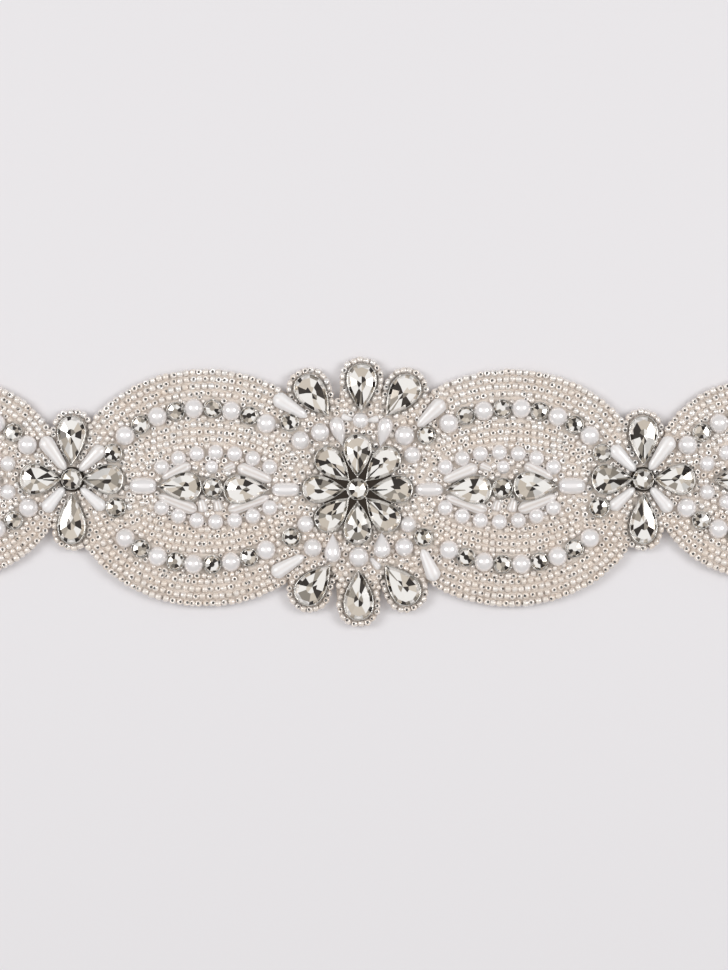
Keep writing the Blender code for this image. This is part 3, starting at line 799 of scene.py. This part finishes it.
def grow_rings(bm, sides, rings, outline, size, place):
    """Grows a closed solid through rings over an outline; returns the faces that close its last ring."""
    for label in ("turn", "level"):
        if label not in bm.verts.layers.float:
            bm.verts.layers.float.new(label)
    turn = bm.verts.layers.float["turn"]
    level = bm.verts.layers.float["level"]
    verts = bmesh.ops.create_circle(bm, cap_ends=True, segments=sides, radius=1.0)["verts"]
    edges = list(dict.fromkeys(edge for vert in verts for edge in vert.link_edges))
    for vert in verts:
        vert[turn] = (math.atan2(vert.co.y, vert.co.x) + math.pi) % math.tau
    lay_ring(bm, verts, turn, rings[0], outline, size, place)
    for index, ring in enumerate(rings[1:]):
        grown = bmesh.ops.extrude_edge_only(bm, edges=edges)["geom"]
        verts = [item for item in grown if isinstance(item, bmesh.types.BMVert)]
        edges = [item for item in grown if isinstance(item, bmesh.types.BMEdge)]
        lay_ring(bm, verts, turn, ring, outline, size, place)
        for vert in verts:
            vert[level] = index + 1
    return bmesh.ops.edgeloop_fill(bm, edges=edges)["faces"]


# Rings of a stone: share of its outline, outset, height, and whether every second point is evened out
STONE_RINGS = (
    (0.80, 0.0, STONE_SEAT, False),
    (1.00, 0.0, 4.05, False),
    (1.00, 0.0, 4.25, False),
)
TABLE_SHARE = 0.83
TABLE_SLOPE = 0.2
HEART_SHARE = 0.34
HEART_RISE = 0.3

# Rings of its metal cup, from the seat up the wall, over the lip and down under the stone
CUP_RINGS = (
    (1.0, -0.7, CUP_LOW, False),
    (1.0, 0.12, 2.9, False),
    (1.0, SETTING_LIP, 4.0, False),
    (1.0, SETTING_LIP - 0.02, 4.38, False),
    (1.0, 0.10, 4.45, False),
    (1.0, 0.05, 4.2, False),
    (1.0, -0.5, 3.1, False),
)

# Facet tones, painted reflections: dark, grey, beige and white, and what each part of a pear stone draws
# from
DARK, GREY, BEIGE, WHITE = 0.06, 0.28, 0.51, 0.93
HEAD_TONES = (BEIGE, BEIGE, WHITE, WHITE, GREY)
SHOULDER_TONES = (DARK, DARK, WHITE, WHITE, BEIGE)
FLANK_TONES = (WHITE, WHITE, WHITE, WHITE, GREY, DARK, BEIGE)
TIP_TONES = (WHITE, GREY, DARK, WHITE, WHITE)
RIM_TONES = (WHITE, WHITE, WHITE, BEIGE, GREY, DARK)
PEAR_HEART_TONES = (DARK, DARK, WHITE, WHITE, BEIGE, GREY)
ROUND_TONES = ((DARK, DARK, BEIGE, WHITE), (WHITE, WHITE, BEIGE, WHITE, GREY))
ROUND_HEART_TONES = (DARK, WHITE, GREY)
HEART_LEVEL = 5
HEAD_FACET = 30


def cut_stone(bm, sides, outline, size, place):
    """A cut stone: a low crown round two bands of large facets that meet at one point."""
    rise = TABLE_SHARE * TABLE_SLOPE * size[1] / 2
    table = (TABLE_SHARE, 0.0, STONE_TABLE - rise, True)
    inner = (HEART_SHARE, 0.0, STONE_TABLE - rise * HEART_RISE, True)
    top = grow_rings(bm, sides, STONE_RINGS + (table, inner), outline, size, place)
    heart = bmesh.ops.poke(bm, faces=top)
    bmesh.ops.translate(bm, verts=heart["verts"], vec=(0.0, 0.0, rise * HEART_RISE))
    level = bm.verts.layers.float["level"]
    for vert in heart["verts"]:
        vert[level] = HEART_LEVEL


def tone_facets(bm, outline, sides):
    """Gives the facets of a cut stone their tones of painted reflection, slice by slice in each band."""
    bmesh.ops.triangulate(bm, faces=bm.faces, quad_method="SHORT_EDGE", ngon_method="BEAUTY")
    bmesh.ops.recalc_face_normals(bm, faces=bm.faces)
    facet = bm.faces.layers.float.new("facet")
    turn = bm.verts.layers.float["turn"]
    level = bm.verts.layers.float["level"]
    slices = {}
    lots = {}
    for face in bm.faces:
        band = round(min(vert[level] for vert in face.verts))
        angles = [vert[turn] for vert in face.verts if vert[level] < HEART_LEVEL]
        if max(angles) - min(angles) > math.pi:
            angles = [angle + math.tau if angle < math.pi else angle for angle in angles]
        middle = sum(angles) / len(angles) % math.tau
        breadth = slice_breadth(band, outline, sides)
        spot = int((middle / math.tau * sides + 1e-4) // breadth)
        if breadth == 2 and outline is pear_outline and abs(math.degrees(middle) - 180) < HEAD_FACET:
            spot = "head"
        if (band, spot) not in slices:
            slices[band, spot] = pick_tone(lots, band, spot, outline, abs(math.degrees(middle) - 180))
        face[facet] = slices[band, spot]


def slice_breadth(band, outline, sides):
    """How many of a stone's sides share one facet in a band."""
    if band == HEART_LEVEL - 1:
        return 4 if outline is pear_outline else sides
    return 2 if band == HEART_LEVEL - 2 else 1


def deal_tone(lots, tones):
    """The next tone of a shuffled lot, so that no stone comes out all white or all dark."""
    if not lots.get(tones):
        lots[tones] = rng.sample(tones, len(tones))
    return lots[tones].pop()


def pick_tone(lots, band, spot, outline, off_head):
    """A facet's tone by where it lies; off_head is its angle in degrees from the head's middle."""
    if band < HEART_LEVEL - 2:
        return deal_tone(lots, RIM_TONES) + rng.uniform(-0.03, 0.03)
    if outline is round_outline:
        tones = ROUND_HEART_TONES if band == HEART_LEVEL - 1 else ROUND_TONES[spot % 2]
    elif band == HEART_LEVEL - 1:
        tones = PEAR_HEART_TONES
    elif off_head < 38:
        tones = HEAD_TONES
    elif off_head < 80:
        tones = SHOULDER_TONES
    elif off_head < 145:
        tones = FLANK_TONES
    else:
        tones = TIP_TONES
    return deal_tone(lots, tones) + rng.uniform(-0.04, 0.06)


def make_single_stone(node, outline, size, place, sides):
    """The visible stone of one CAD stone."""
    bm = bmesh.new()
    cut_stone(bm, sides, outline, size, place)
    tone_facets(bm, outline, sides)
    finish_piece(bm, f"cut_{node}", (CUT_CRYSTAL,), (node,), smooth=False)


def add_prongs(bm, outline, size, place, angles):
    """Small claws that hold a stone at a few places of its outline."""
    for angle in angles:
        x, y = outline(angle, size[0], size[1], 0.12)
        claw = bmesh.ops.create_uvsphere(bm, u_segments=8, v_segments=6, radius=0.42)["verts"]
        bmesh.ops.scale(bm, verts=claw, vec=(1.0, 0.8, 0.9))
        bmesh.ops.transform(bm, matrix=place @ Matrix.Translation((x, -y, 4.45)), verts=claw)


def place_on_lean(x, y, lean):
    """A place at x, y turned by a lean in degrees."""
    return Matrix.Translation((x, y, climb(x))) @ Matrix.Rotation(math.radians(lean), 4, "Z")


def list_stones():
    """Every CAD stone: its node, group, outline, size, x, y and lean."""
    stones = [("flower_centre", "flower", round_outline, (FLOWER_CENTRE_D, FLOWER_CENTRE_D), 0.0, 0.0, 0)]
    for index in range(FLOWER_PETALS):
        lean = 90 - index * 360 / FLOWER_PETALS
        x = FLOWER_TIP_R * math.cos(math.radians(lean))
        y = FLOWER_TIP_R * math.sin(math.radians(lean))
        stones.append((f"flower_petal_{index + 1}", "flower", pear_outline, FLOWER_PETAL, x, y, lean))
    for index, (x, y, lean, length, width) in enumerate(FAN_STONES):
        stones.append((f"fan_stone_{index + 1}", "fans", pear_outline, (length, width), x, y, lean))
    for side, word in WORDS:
        x, y = side * CROSS[0], CROSS[1]
        size = (CROSS_CENTRE_D, CROSS_CENTRE_D)
        stones.append((f"cross_centre_{word}", f"cross_{word}", round_outline, size, x, y, 0))
        for index, (tip_r, lean, length, width) in enumerate(CROSS_STONES):
            turned = lean if side > 0 else 180 - lean
            tip_x = x + tip_r * math.cos(math.radians(turned))
            tip_y = y + tip_r * math.sin(math.radians(turned))
            node = f"cross_stone_{index + 1}_{word}"
            stones.append((node, f"cross_{word}", pear_outline, (length, width), tip_x, tip_y, turned))
        for index, (lobe, tip_dx, lean, length, width) in enumerate(LOBE_STONES):
            centre_x, centre_y = CENTRES[lobe]
            turned = lean if side > 0 else 180 - lean
            tip_x = side * (centre_x + tip_dx)
            tip_y = centre_y + LOBE_RISE * tip_dx
            node = f"lobe_stone_{index + 1}_{word}"
            stones.append((node, f"{lobe}_{word}", pear_outline, (length, width), tip_x, tip_y, turned))
        for lobe, (dx, diameter) in LOBE_CHATON.items():
            centre_x, centre_y = CENTRES[lobe]
            rise = LOBE_RISE * dx if lobe == "lobe" else 0.0
            node = f"{lobe}_chaton_{word}"
            size = (diameter, diameter)
            x, y = side * (centre_x + dx), centre_y + rise
            stones.append((node, f"{lobe}_{word}", round_outline, size, x, y, 0))
    return stones


def make_plate(group, middle):
    """The plate that holds a flower's stones together from below, painted near black all over: tarnish and
    painted shade between the stones.
    """
    bm = bmesh.new()
    core = bm.verts.layers.float.new("core")
    bmesh.ops.create_cone(
        bm, segments=40, radius1=PLATE_R[group], radius2=PLATE_R[group] - 0.3, depth=0.7,
        cap_ends=True, matrix=middle @ Matrix.Translation((0.0, 0.0, 3.25)))
    # Every point is marked as core, so the whole plate takes the tarnish and painted shade.
    for vert in bm.verts:
        vert[core] = 1.0
    finish_piece(bm, f"plate_{group}", (SETTING_SILVER,), smooth=False)


def make_set_stones(stones):
    """The CAD stones as cut stones, and their settings joined by group."""
    groups = {}
    for node, group, outline, size, x, y, lean in stones:
        place = place_on_lean(x, y, lean)
        sides = 24 if outline is pear_outline else 16
        make_single_stone(node, outline, size, place, sides)
        groups.setdefault(group, []).append((outline, size, place, sides))
    for group, members in groups.items():
        bm = bmesh.new()
        bm.verts.layers.float.new("core")
        for outline, size, place, sides in members:
            grow_rings(bm, sides, CUP_RINGS, outline, size, place)
            angles = (0.05, 2.3, 3.98) if outline is pear_outline else (0.8, 2.37, 3.94, 5.51)
            add_prongs(bm, outline, size, place, angles)
        if group in PLATE_R:
            make_plate(group, next(place for outline, _, place, _ in members if outline is round_outline))
        bmesh.ops.recalc_face_normals(bm, faces=bm.faces)
        finish_piece(bm, f"settings_{group}", (SETTING_SILVER,))


def make_chaton_shape():
    """A unit round stone for the rows, its seat at its own origin."""
    bm = bmesh.new()
    cut_stone(bm, 16, round_outline, (4.0, 4.0), Matrix())
    tone_facets(bm, round_outline, 16)
    bmesh.ops.translate(bm, verts=bm.verts, vec=(0.0, 0.0, -STONE_SEAT))
    return shape_mesh(bm, "chaton_shape")


def make_chaton_cup_shape():
    """The cup of a unit round stone."""
    bm = bmesh.new()
    bm.verts.layers.float.new("core")
    grow_rings(bm, 16, CUP_RINGS, round_outline, (4.0, 4.0), Matrix())
    add_prongs(bm, round_outline, (4.0, 4.0), Matrix(), (0.8, 2.37, 3.94, 5.51))
    bmesh.ops.recalc_face_normals(bm, faces=bm.faces)
    bmesh.ops.translate(bm, verts=bm.verts, vec=(0.0, 0.0, -STONE_SEAT))
    return shape_mesh(bm, "chaton_cup_shape")


# Places of the beads


def row_path(half_length, half_height, first, last):
    """Fine points along a half ellipse between two distances along it."""
    start = math.acos(-first / half_length)
    stop = math.acos(-last / half_length)
    path = []
    for index in range(401):
        angle = start + (stop - start) * index / 400
        path.append((-half_length * math.cos(angle), half_height * math.sin(angle)))
    return path


def row_places(half_length, half_height, first, last, count):
    """Places equally far apart along a half ellipse."""
    path = row_path(half_length, half_height, first, last)
    lengths = [0.0]
    for before, after in zip(path, path[1:]):
        lengths.append(lengths[-1] + math.dist(before, after))
    places = []
    for index in range(count):
        goal = lengths[-1] * index / (count - 1)
        nearest = min(range(len(path)), key=lambda i: abs(lengths[i] - goal))
        places.append(path[nearest])
    return places


def list_beads():
    """Every raised bead: x, y, length, width, lean, kind."""
    beads = list(MEDALLION_BEADS)
    for side, _ in WORDS:
        for lobe, row_side, shift, half_length, half_height, first, last, count, kinds in BEAD_ROWS:
            centre_x, centre_y = CENTRES[lobe]
            places = row_places(half_length, half_height, first - shift, last - shift, count)
            for index, (dx, dy) in enumerate(places):
                kind = kinds[index % 2]
                size = BEAD_D[kind]
                beads.append((side * (centre_x + shift + dx), centre_y + row_side * dy, size, size, 0, kind))
        for lobe, dx, dy, length, width, kind in LOBE_BEADS:
            centre_x, centre_y = CENTRES[lobe]
            beads.append((side * (centre_x + dx), centre_y + dy, length, width, 0, kind))
        for lobe, dx, dy, size in LOBE_GAP_PEARLS:
            centre_x, centre_y = CENTRES[lobe]
            beads.append((side * (centre_x + dx), centre_y + dy, size, size, 0, "small"))
    return beads


def list_tubes():
    """Every satin leaf and tube: start x, y, end x, y, width, kind."""
    tubes = [tube + ("leaf",) for tube in MEDALLION_TUBES]
    for side, _ in WORDS:
        for dx, dy, end_dx, end_dy, width in CROSS_TUBES:
            tubes.append((
                side * (CROSS[0] + dx), CROSS[1] + dy,
                side * (CROSS[0] + end_dx), CROSS[1] + end_dy, width, "leaf",
            ))
        for lobe, dx, dy, end_dx, end_dy, width in LOBE_TUBES:
            x, y = CENTRES[lobe]
            tubes.append((side * (x + dx), y + dy, side * (x + end_dx), y + end_dy, width, "tube"))
    return tubes


def list_obstacles(stones, beads, tubes):
    """What seed beads keep clear of, as rows of two ends and a reach at each end."""
    rows = []
    for _, _, outline, (length, width), x, y, lean in stones:
        way = (math.cos(math.radians(lean)), math.sin(math.radians(lean)))
        if outline is pear_outline:
            head = length - width / 2
            rows.append((
                x + 0.6 * way[0], y + 0.6 * way[1], 1.8,
                x + head * way[0], y + head * way[1], width / 2 + 1.15,
            ))
        else:
            rows.append((x, y, width / 2 + 1.2, x, y, width / 2 + 1.2))
    for x, y, length, width, lean, kind in beads:
        way = (math.cos(math.radians(lean)), math.sin(math.radians(lean)))
        half = (length - width) / 2
        clear = width / 2 + (1.2 if kind == "chaton" else 0.62)
        thin = clear * 0.6 if kind == "drop" else clear
        rows.append((
            x - half * way[0], y - half * way[1], clear,
            x + half * way[0], y + half * way[1], thin,
        ))
    for x, y, end_x, end_y, width, _ in tubes:
        back = 0.25 * width / max(math.hypot(end_x - x, end_y - y), width)
        rows.append((
            x, y, width * 0.16 + 0.6,
            end_x - back * (end_x - x), end_y - back * (end_y - y), width / 2 + 0.4,
        ))
    return np.array(rows)


class SeedField:
    """Seed beads placed so far, and what they keep clear of."""

    def __init__(self, obstacles):
        self.obstacles = obstacles
        self.seeds = []
        self.cells = {}

    def is_free(self, x, y, clear, inset, slack=0.0):
        """True where a bead fits at x, y; a small bead may come closer to the stones by its slack."""
        if abs(x) > SASH_END - inset or not inside_outline(x, y, inset):
            return False
        cell = (int(x // 2), int(y // 2))
        for i in (-1, 0, 1):
            for j in (-1, 0, 1):
                for other_x, other_y in self.cells.get((cell[0] + i, cell[1] + j), ()):
                    if (x - other_x) ** 2 + (y - other_y) ** 2 < clear * clear:
                        return False
        ax, ay, ar, bx, by, br = self.obstacles.T
        run_x, run_y = bx - ax, by - ay
        run = np.maximum(run_x ** 2 + run_y ** 2, 1e-9)
        share = np.clip(((x - ax) * run_x + (y - ay) * run_y) / run, 0.0, 1.0)
        away = np.hypot(x - ax - share * run_x, y - ay - share * run_y)
        return bool(np.all(away >= ar + share * (br - ar) - slack))

    def add(self, x, y, lean, size):
        """Places a bead."""
        self.seeds.append((x, y, lean, size))
        self.cells.setdefault((int(x // 2), int(y // 2)), []).append((x, y))

    def walk(self, path, keep=None, inset=SEED_EDGE):
        """Strings beads along a fine path wherever they fit."""
        since = SEED_PITCH
        for before, after in zip(path, path[1:]):
            since += math.dist(before, after)
            if since < SEED_PITCH or (keep and not keep(*after)):
                continue
            if self.is_free(after[0], after[1], SEED_CLEAR, inset):
                lean = math.degrees(math.atan2(after[1] - before[1], after[0] - before[0]))
                self.add(after[0], after[1], lean, 1.0)
                since = 0.0

    def fill(self, clear, size, pitch, inset=SEED_EDGE):
        """Beads in the gaps that the rows left."""
        rows = int(80 / (pitch * 0.866))
        for row in range(rows + 1):
            y = -40 + row * pitch * 0.866
            columns = int(2 * SASH_END / pitch)
            for column in range(columns + 1):
                x = -SASH_END + (column + 0.5 * (row % 2)) * pitch
                if self.is_free(x, y, clear, inset, (1.0 - size) * SEED_R):
                    self.add(x, y, rng.uniform(0, 180), size)


def ellipse_path(centre_x, centre_y, half_width, half_height, start=0.0, stop=360.0):
    """Fine points along part of an ellipse."""
    steps = max(int(abs(stop - start) * max(half_width, half_height) / 10), 12)
    path = []
    for index in range(steps + 1):
        angle = math.radians(start + (stop - start) * index / steps)
        path.append((centre_x + half_width * math.cos(angle), centre_y + half_height * math.sin(angle)))
    return path


def pear_path(length, width, x, y, lean, outset):
    """Fine points round a pear stone, from one flank over its head to the other."""
    turn = math.radians(lean)
    path = []
    for index in range(301):
        along, across = pear_outline(math.radians(60 + index * 0.8), length, width, outset)
        path.append((
            x + along * math.cos(turn) - across * math.sin(turn),
            y + along * math.sin(turn) + across * math.cos(turn),
        ))
    return path


def outline_path(side, low, high, inset):
    """Fine points along one edge of the sash, drawn in by an inset."""
    path = []
    for index in range(int((high - low) / 0.1) + 1):
        x = low + index * 0.1
        y = edge_height(x, side, inset)
        if y is not None:
            path.append((x, y))
    return path


def string_seeds(stones, beads, tubes):
    """Strings the whole sash with seed beads, row by row."""
    field = SeedField(list_obstacles(stones, beads, tubes))
    for node, _, outline, (length, width), x, y, lean in stones:
        if node.startswith("fan") or node.startswith("cross_stone_1") or node.startswith("cross_stone_3"):
            field.walk(pear_path(length, width, x, y, lean, 1.3), inset=0.1)
    for side, _ in WORDS:
        for name, (x, y, half_width, half_height) in (("lobe", LOBE), ("end_lobe", END_LOBE)):
            inner = 19.5 if name == "lobe" else 0.0
            for ring in range(4):
                inset = 0.9 + ring * ROW_STEP
                path = ellipse_path(side * x, y, half_width - inset, half_height - inset)
                field.walk(path, keep=lambda px, py: abs(px) > inner)
    for side, word in WORDS:
        x, y = side * CROSS[0], CROSS[1]
        for way in (-1, 1):
            for ring in range(3):
                inset = 0.9 + ring * ROW_STEP
                field.walk(ellipse_path(
                    x, y + way * CROSS_PETAL_RISE,
                    CROSS_PETAL_HALF[0] - inset, CROSS_PETAL_HALF[1] - inset,
                    -20 if way > 0 else 160, 200 if way > 0 else 380,
                ))
    for side in (-1, 1):
        field.walk(outline_path(side, -SASH_END, SASH_END, 0.9))
    for side, _ in WORDS:
        for x, y, half_length, outer, inner in (
            (LOBE[0], LOBE[1], 27.0, 19.0, 10.8),
            (END_LOBE[0], END_LOBE[1], 22.6, 14.2, 8.9),
        ):
            rows = int((outer - inner) / ROW_STEP) + 1
            for row in range(rows):
                height = outer - row * ROW_STEP
                length = half_length - row * ROW_STEP * 0.55
                field.walk(ellipse_path(side * x, y, length, height))
    for side, _ in WORDS:
        for name, (dx, diameter) in LOBE_CHATON.items():
            x, y = CENTRES[name]
            field.walk(ellipse_path(side * (x + dx), y, diameter / 2 + 1.25, diameter / 2 + 1.25))
    for y in (0.0, 1.0, -1.0):
        field.walk([(x * 0.1, y) for x in range(-250, -140)])
        field.walk([(x * 0.1, y) for x in range(140, 250)])
    field.fill(SEED_CLEAR, 1.0, 0.6)
    field.fill(1.36, 0.8, 0.4)
    return field.seeds


def make_seed_pieces(seeds, shape):
    """Seed beads by panel; most lie along their row and some stand to show their bore."""
    panels = {}
    for x, y, lean, size in seeds:
        panels.setdefault(panel_of(x), []).append((x, y, lean, size))
    for panel, members in panels.items():
        places = []
        tones = []
        for x, y, lean, size in members:
            upright = rng.random() < 0.46
            tilt = rng.uniform(48, 88) if upright else rng.uniform(-14, 14)
            turn = lean + rng.uniform(-14, 14) + (0 if rng.random() < 0.5 else 180)
            x += rng.uniform(-0.13, 0.13)
            y += rng.uniform(-0.13, 0.13)
            z = SEED_HEIGHT + rng.uniform(-0.1, 0.18)
            girth = size * rng.uniform(0.9, 1.03)
            length = size * rng.uniform(0.92, 1.12)
            places.append(lay_along(x, y, z, turn, tilt, (girth, girth, length)))
            # Painted shade: beads in the low rows get a lower tone.
            tones.append(rng.betavariate(2.2, 1.8) * (LOW_ROW_SHADE if y < LOW_ROWS else 1.0))
        scatter(f"seeds_{panel}", ((shape, places, tones),), SEED_GLASS, (panel,))


def make_bead_pieces(beads, shapes):
    """Pearls, drops and the round stones of the rows, by panel."""
    panels = {}
    for bead in beads:
        panels.setdefault(panel_of(bead[0]), []).append(bead)
    for panel, members in panels.items():
        pearls = {"round": ([], []), "oblong": ([], []), "drop": ([], [])}
        stones = [[] for _ in shapes["chatons"]]
        for x, y, length, width, lean, kind in members:
            if kind == "chaton":
                share = width / 4.0
                lift = Matrix.Translation((x, y, STONE_SEAT - 0.9 + climb(x)))
                spin = Matrix.Rotation(rng.uniform(0, math.tau), 4, "Z")
                rng.choice(stones).append(lift @ spin @ Matrix.Diagonal((share, share, 1.0, 1.0)))
                continue
            form = kind if kind in pearls else "round"
            turn = lean + (rng.uniform(0, 360) if form == "round" else 0)
            tilt = rng.uniform(-6, 6) if form == "round" else 0.0
            z = BACKING_TOP + width / 2
            pearls[form][0].append(lay_along(x, y, z, turn, tilt, (width, width, length)))
            pearls[form][1].append(rng.random())
        batches = [(shapes[form],) + pearls[form] for form in pearls if pearls[form][0]]
        if batches:
            scatter(f"pearls_{panel}", batches, PEARL_COAT, (panel,))
        cups = [place for group in stones for place in group]
        if cups:
            batches = [
                (shape, group, [0.5] * len(group))
                for shape, group in zip(shapes["chatons"], stones) if group
            ]
            scatter(f"chatons_{panel}", batches, CUT_CRYSTAL, (panel,), smooth=False)
            cup_batch = (shapes["cup"], cups, [0.5] * len(cups))
            scatter(f"chaton_cups_{panel}", (cup_batch,), SETTING_SILVER)


def make_tube_pieces(tubes, shapes):
    """Satin leaves and tubes, by panel: white leaves by the flowers, clearer tubes in the lobes."""
    panels = {}
    for tube in tubes:
        panels.setdefault(panel_of((tube[0] + tube[2]) / 2), []).append(tube)
    for panel, members in panels.items():
        lots = {}
        for x, y, end_x, end_y, width, kind in members:
            length = math.hypot(end_x - x, end_y - y) + width * 0.4
            lean = math.degrees(math.atan2(end_y - y, end_x - x))
            z = BACKING_TOP + width * 0.36 + 0.5
            scale = (width * 1.05, width * 0.8, length)
            places, tones = lots.setdefault(kind, ([], []))
            places.append(lay_along((x + end_x) / 2, (y + end_y) / 2, z, lean, 0.0, scale))
            tones.append(rng.uniform(*SATIN_SHADES[kind]))
        batches = [(shapes[kind],) + lot for kind, lot in lots.items()]
        scatter(f"tubes_{panel}", batches, SATIN_GLASS)


# Cloth


def close_sheet(bm, thickness):
    """Gives a sheet of cloth its thickness; returns how far its lowest point lies under zero."""
    bmesh.ops.solidify(bm, geom=bm.faces, thickness=thickness)
    bmesh.ops.recalc_face_normals(bm, faces=bm.faces)
    return -min(vert.co.z for vert in bm.verts)


def make_cloth(name, inset, top, thickness, columns, nodes):
    """A flat layer of cloth with the sash's outline, drawn in by an inset."""
    reach = SASH_END - inset
    rows = 14
    bm = bmesh.new()
    bmesh.ops.create_grid(bm, x_segments=columns, y_segments=rows, size=1.0)
    edges = {}
    for vert in bm.verts:
        share = round(vert.co.x, 5)
        if share not in edges:
            x = share * (reach - 0.03)
            edges[share] = (x, edge_height(x, -1, inset), edge_height(x, 1, inset))
        x, low, high = edges[share]
        vert.co = Vector((x, low + (high - low) * (vert.co.y + 1) / 2, 0.0))
    area = sum(face.calc_area() for face in bm.faces) * MM * MM
    drop = close_sheet(bm, thickness)
    for vert in bm.verts:
        vert.co.z += drop + top - thickness + climb(vert.co.x)
    cloth = finish_piece(bm, name, (GROUND_CLOTH,), nodes)


def make_cloths():
    """The scalloped ground cloth and the net that its beads are sewn through, seen between them."""
    make_cloth("ground_cloth", 0.35, BACKING_TOP, 0.95, 620, ("backing",))
    make_cloth("bead_net", 0.9, NET_TOP, 0.95, 560, ())


def ribbon_path():
    """The ribbon's way from under the sash's end, through its folds: x, y offset and z."""
    points = [(RIBBON_START, 0.0, 0.3)]
    x = RIBBON_START
    for layer in range(FOLD_LAYERS):
        outward = layer % 2 == 0
        drift = 0.9 * math.sin(2.1 * layer)
        goal = FOLD_OUTER - 1.2 + drift * 0.6 if outward else FOLD_INNER + 1.4 + drift * 0.6
        height = 0.3 + layer * FOLD_PITCH
        aside = 0.0 if layer == 0 else 1.1 * math.sin(1.3 * layer + 0.5)
        start = x
        last_aside = points[-1][1]
        for step in range(1, 25):
            share = step / 24
            swell = 0.0 if layer == 0 else 0.26 * math.sin(3.3 * share * math.pi + 1.7 * layer)
            swell *= math.sin(share * math.pi)
            x = start + (goal - start) * share
            points.append((x, last_aside + (aside - last_aside) * share, height + swell))
        if layer == FOLD_LAYERS - 1:
            break
        way = 1 if outward else -1
        for step in range(1, 8):
            angle = math.pi * step / 8
            bulge = 1.1 * math.sin(angle)
            rise = FOLD_PITCH * (1 - math.cos(angle)) / 2
            points.append((goal + way * bulge, aside, height + rise))
    return points


def make_ribbon(side, word):
    """One satin tie: sewn under the sash's end and laid in an accordion beyond it."""
    path = ribbon_path()
    lengths = [0.0]
    for before, after in zip(path, path[1:]):
        lengths.append(lengths[-1] + math.dist((before[0], before[2]), (after[0], after[2])))
    rows = 12
    bm = bmesh.new()
    uv = bm.loops.layers.uv.new("ribbon")
    bmesh.ops.create_grid(bm, x_segments=len(path) - 1, y_segments=rows, size=1.0)
    along = bm.verts.layers.float.new("along")
    across = bm.verts.layers.float.new("across")
    for vert in bm.verts:
        index = round((vert.co.x + 1) / 2 * (len(path) - 1))
        share = (vert.co.y + 1) / 2
        x, aside, z = path[index]
        vert[along] = lengths[index]
        vert[across] = share * RIBBON_WIDE
        ripple = math.sin(0.11 * x + 1.6 * share + side) + 0.5 * math.sin(0.19 * x - 2.3 * share)
        z += RIBBON_RIPPLE * ripple * (z - 0.3) / (FOLD_LAYERS * FOLD_PITCH)
        if index > len(path) - 25:
            near_end = (index - (len(path) - 25)) / 24
            x += near_end * (share - 1.0) * CUT_SLANT - near_end * 4.6
            z += 2.6 * near_end ** 3 * (0.6 + 0.4 * math.sin(3 * share))
        vert.co = Vector((side * x, END_LOBE[1] + aside + (share - 0.5) * (RIBBON_WIDE - 0.6), z))
    area = sum(face.calc_area() for face in bm.faces) * MM * MM
    drop = close_sheet(bm, RIBBON_THICK)
    bmesh.ops.translate(bm, verts=bm.verts, vec=(0.0, 0.0, drop + 0.02))
    for face in bm.faces:
        for loop in face.loops:
            loop[uv].uv = (loop.vert[along] * MM, loop.vert[across] * MM)
    nodes = (f"tie_{word}", f"tie_folds_{word}")
    ribbon = finish_piece(bm, f"ribbon_{word}", (RIBBON_SATIN,), nodes)


# The whole object


def make_sash():
    """Every piece of the sash."""
    make_cloths()
    stones = list_stones()
    beads = list_beads()
    tubes = list_tubes()
    shapes = {
        "round": make_round_shape(), "oblong": make_oblong_shape(), "drop": make_drop_shape(),
        "chatons": [make_chaton_shape() for _ in range(6)], "cup": make_chaton_cup_shape(),
    }
    make_set_stones(stones)
    make_seed_pieces(string_seeds(stones, beads, tubes), make_seed_shape())
    make_bead_pieces(beads, shapes)
    make_tube_pieces(tubes, {kind: make_tube_shape(foot) for kind, foot in SATIN_FOOT.items()})
    for side, word in WORDS:
        make_ribbon(side, word)


make_sash()


# Surface, light and camera


def make_floor():
    """A plain pale surface to lie on."""
    made, _, shader = new_material("pale_surface", Roughness=0.9)
    shader.inputs["Base Color"].default_value = (0.80, 0.785, 0.805, 1.0)
    bm = bmesh.new()
    bmesh.ops.create_grid(bm, x_segments=1, y_segments=1, size=3.0)
    mesh = bpy.data.meshes.new("surface")
    bm.to_mesh(mesh)
    bm.free()
    mesh.materials.append(made)
    floor = bpy.data.objects.new("surface", mesh)
    floor.location.z = -0.0002
    bpy.context.scene.collection.objects.link(floor)


def make_light(name, x, y, z, across, power):
    """A round soft light that faces the flower."""
    data = bpy.data.lights.new(name, "AREA")
    data.shape = "DISK"
    data.size = across
    data.energy = power
    lamp = bpy.data.objects.new(name, data)
    lamp.location = (x, y, z)
    lamp.rotation_euler = (-lamp.location).to_track_quat("-Z", "Y").to_euler()
    bpy.context.scene.collection.objects.link(lamp)


def make_world():
    """An even, faintly warm fill from all round."""
    world = bpy.data.worlds.new("fill")
    world.use_nodes = True
    back = world.node_tree.nodes["Background"]
    back.inputs["Color"].default_value = (1.0, 0.985, 0.975, 1.0)
    back.inputs["Strength"].default_value = 0.43
    bpy.context.scene.world = world


def make_camera():
    """Straight above the flower, as close as the photograph."""
    data = bpy.data.cameras.new("camera")
    data.sensor_fit = "VERTICAL"
    data.sensor_height = 36.0
    data.lens = 85.0
    data.dof.use_dof = False
    camera = bpy.data.objects.new("camera", data)
    camera.location = (FLOWER.x + 0.00175, FLOWER.y + 0.00115, 0.6216)
    bpy.context.scene.collection.objects.link(camera)
    bpy.context.scene.camera = camera


make_floor()
make_light("left_light", -0.65, 0.14, 0.78, 0.5, 3.45)
make_light("right_light", 0.65, 0.14, 0.78, 0.5, 3.45)
make_light("overhead_light", 0.0, 0.0, 1.15, 1.35, 1.75)
make_world()
make_camera()
bpy.context.scene.view_settings.view_transform = "Standard"
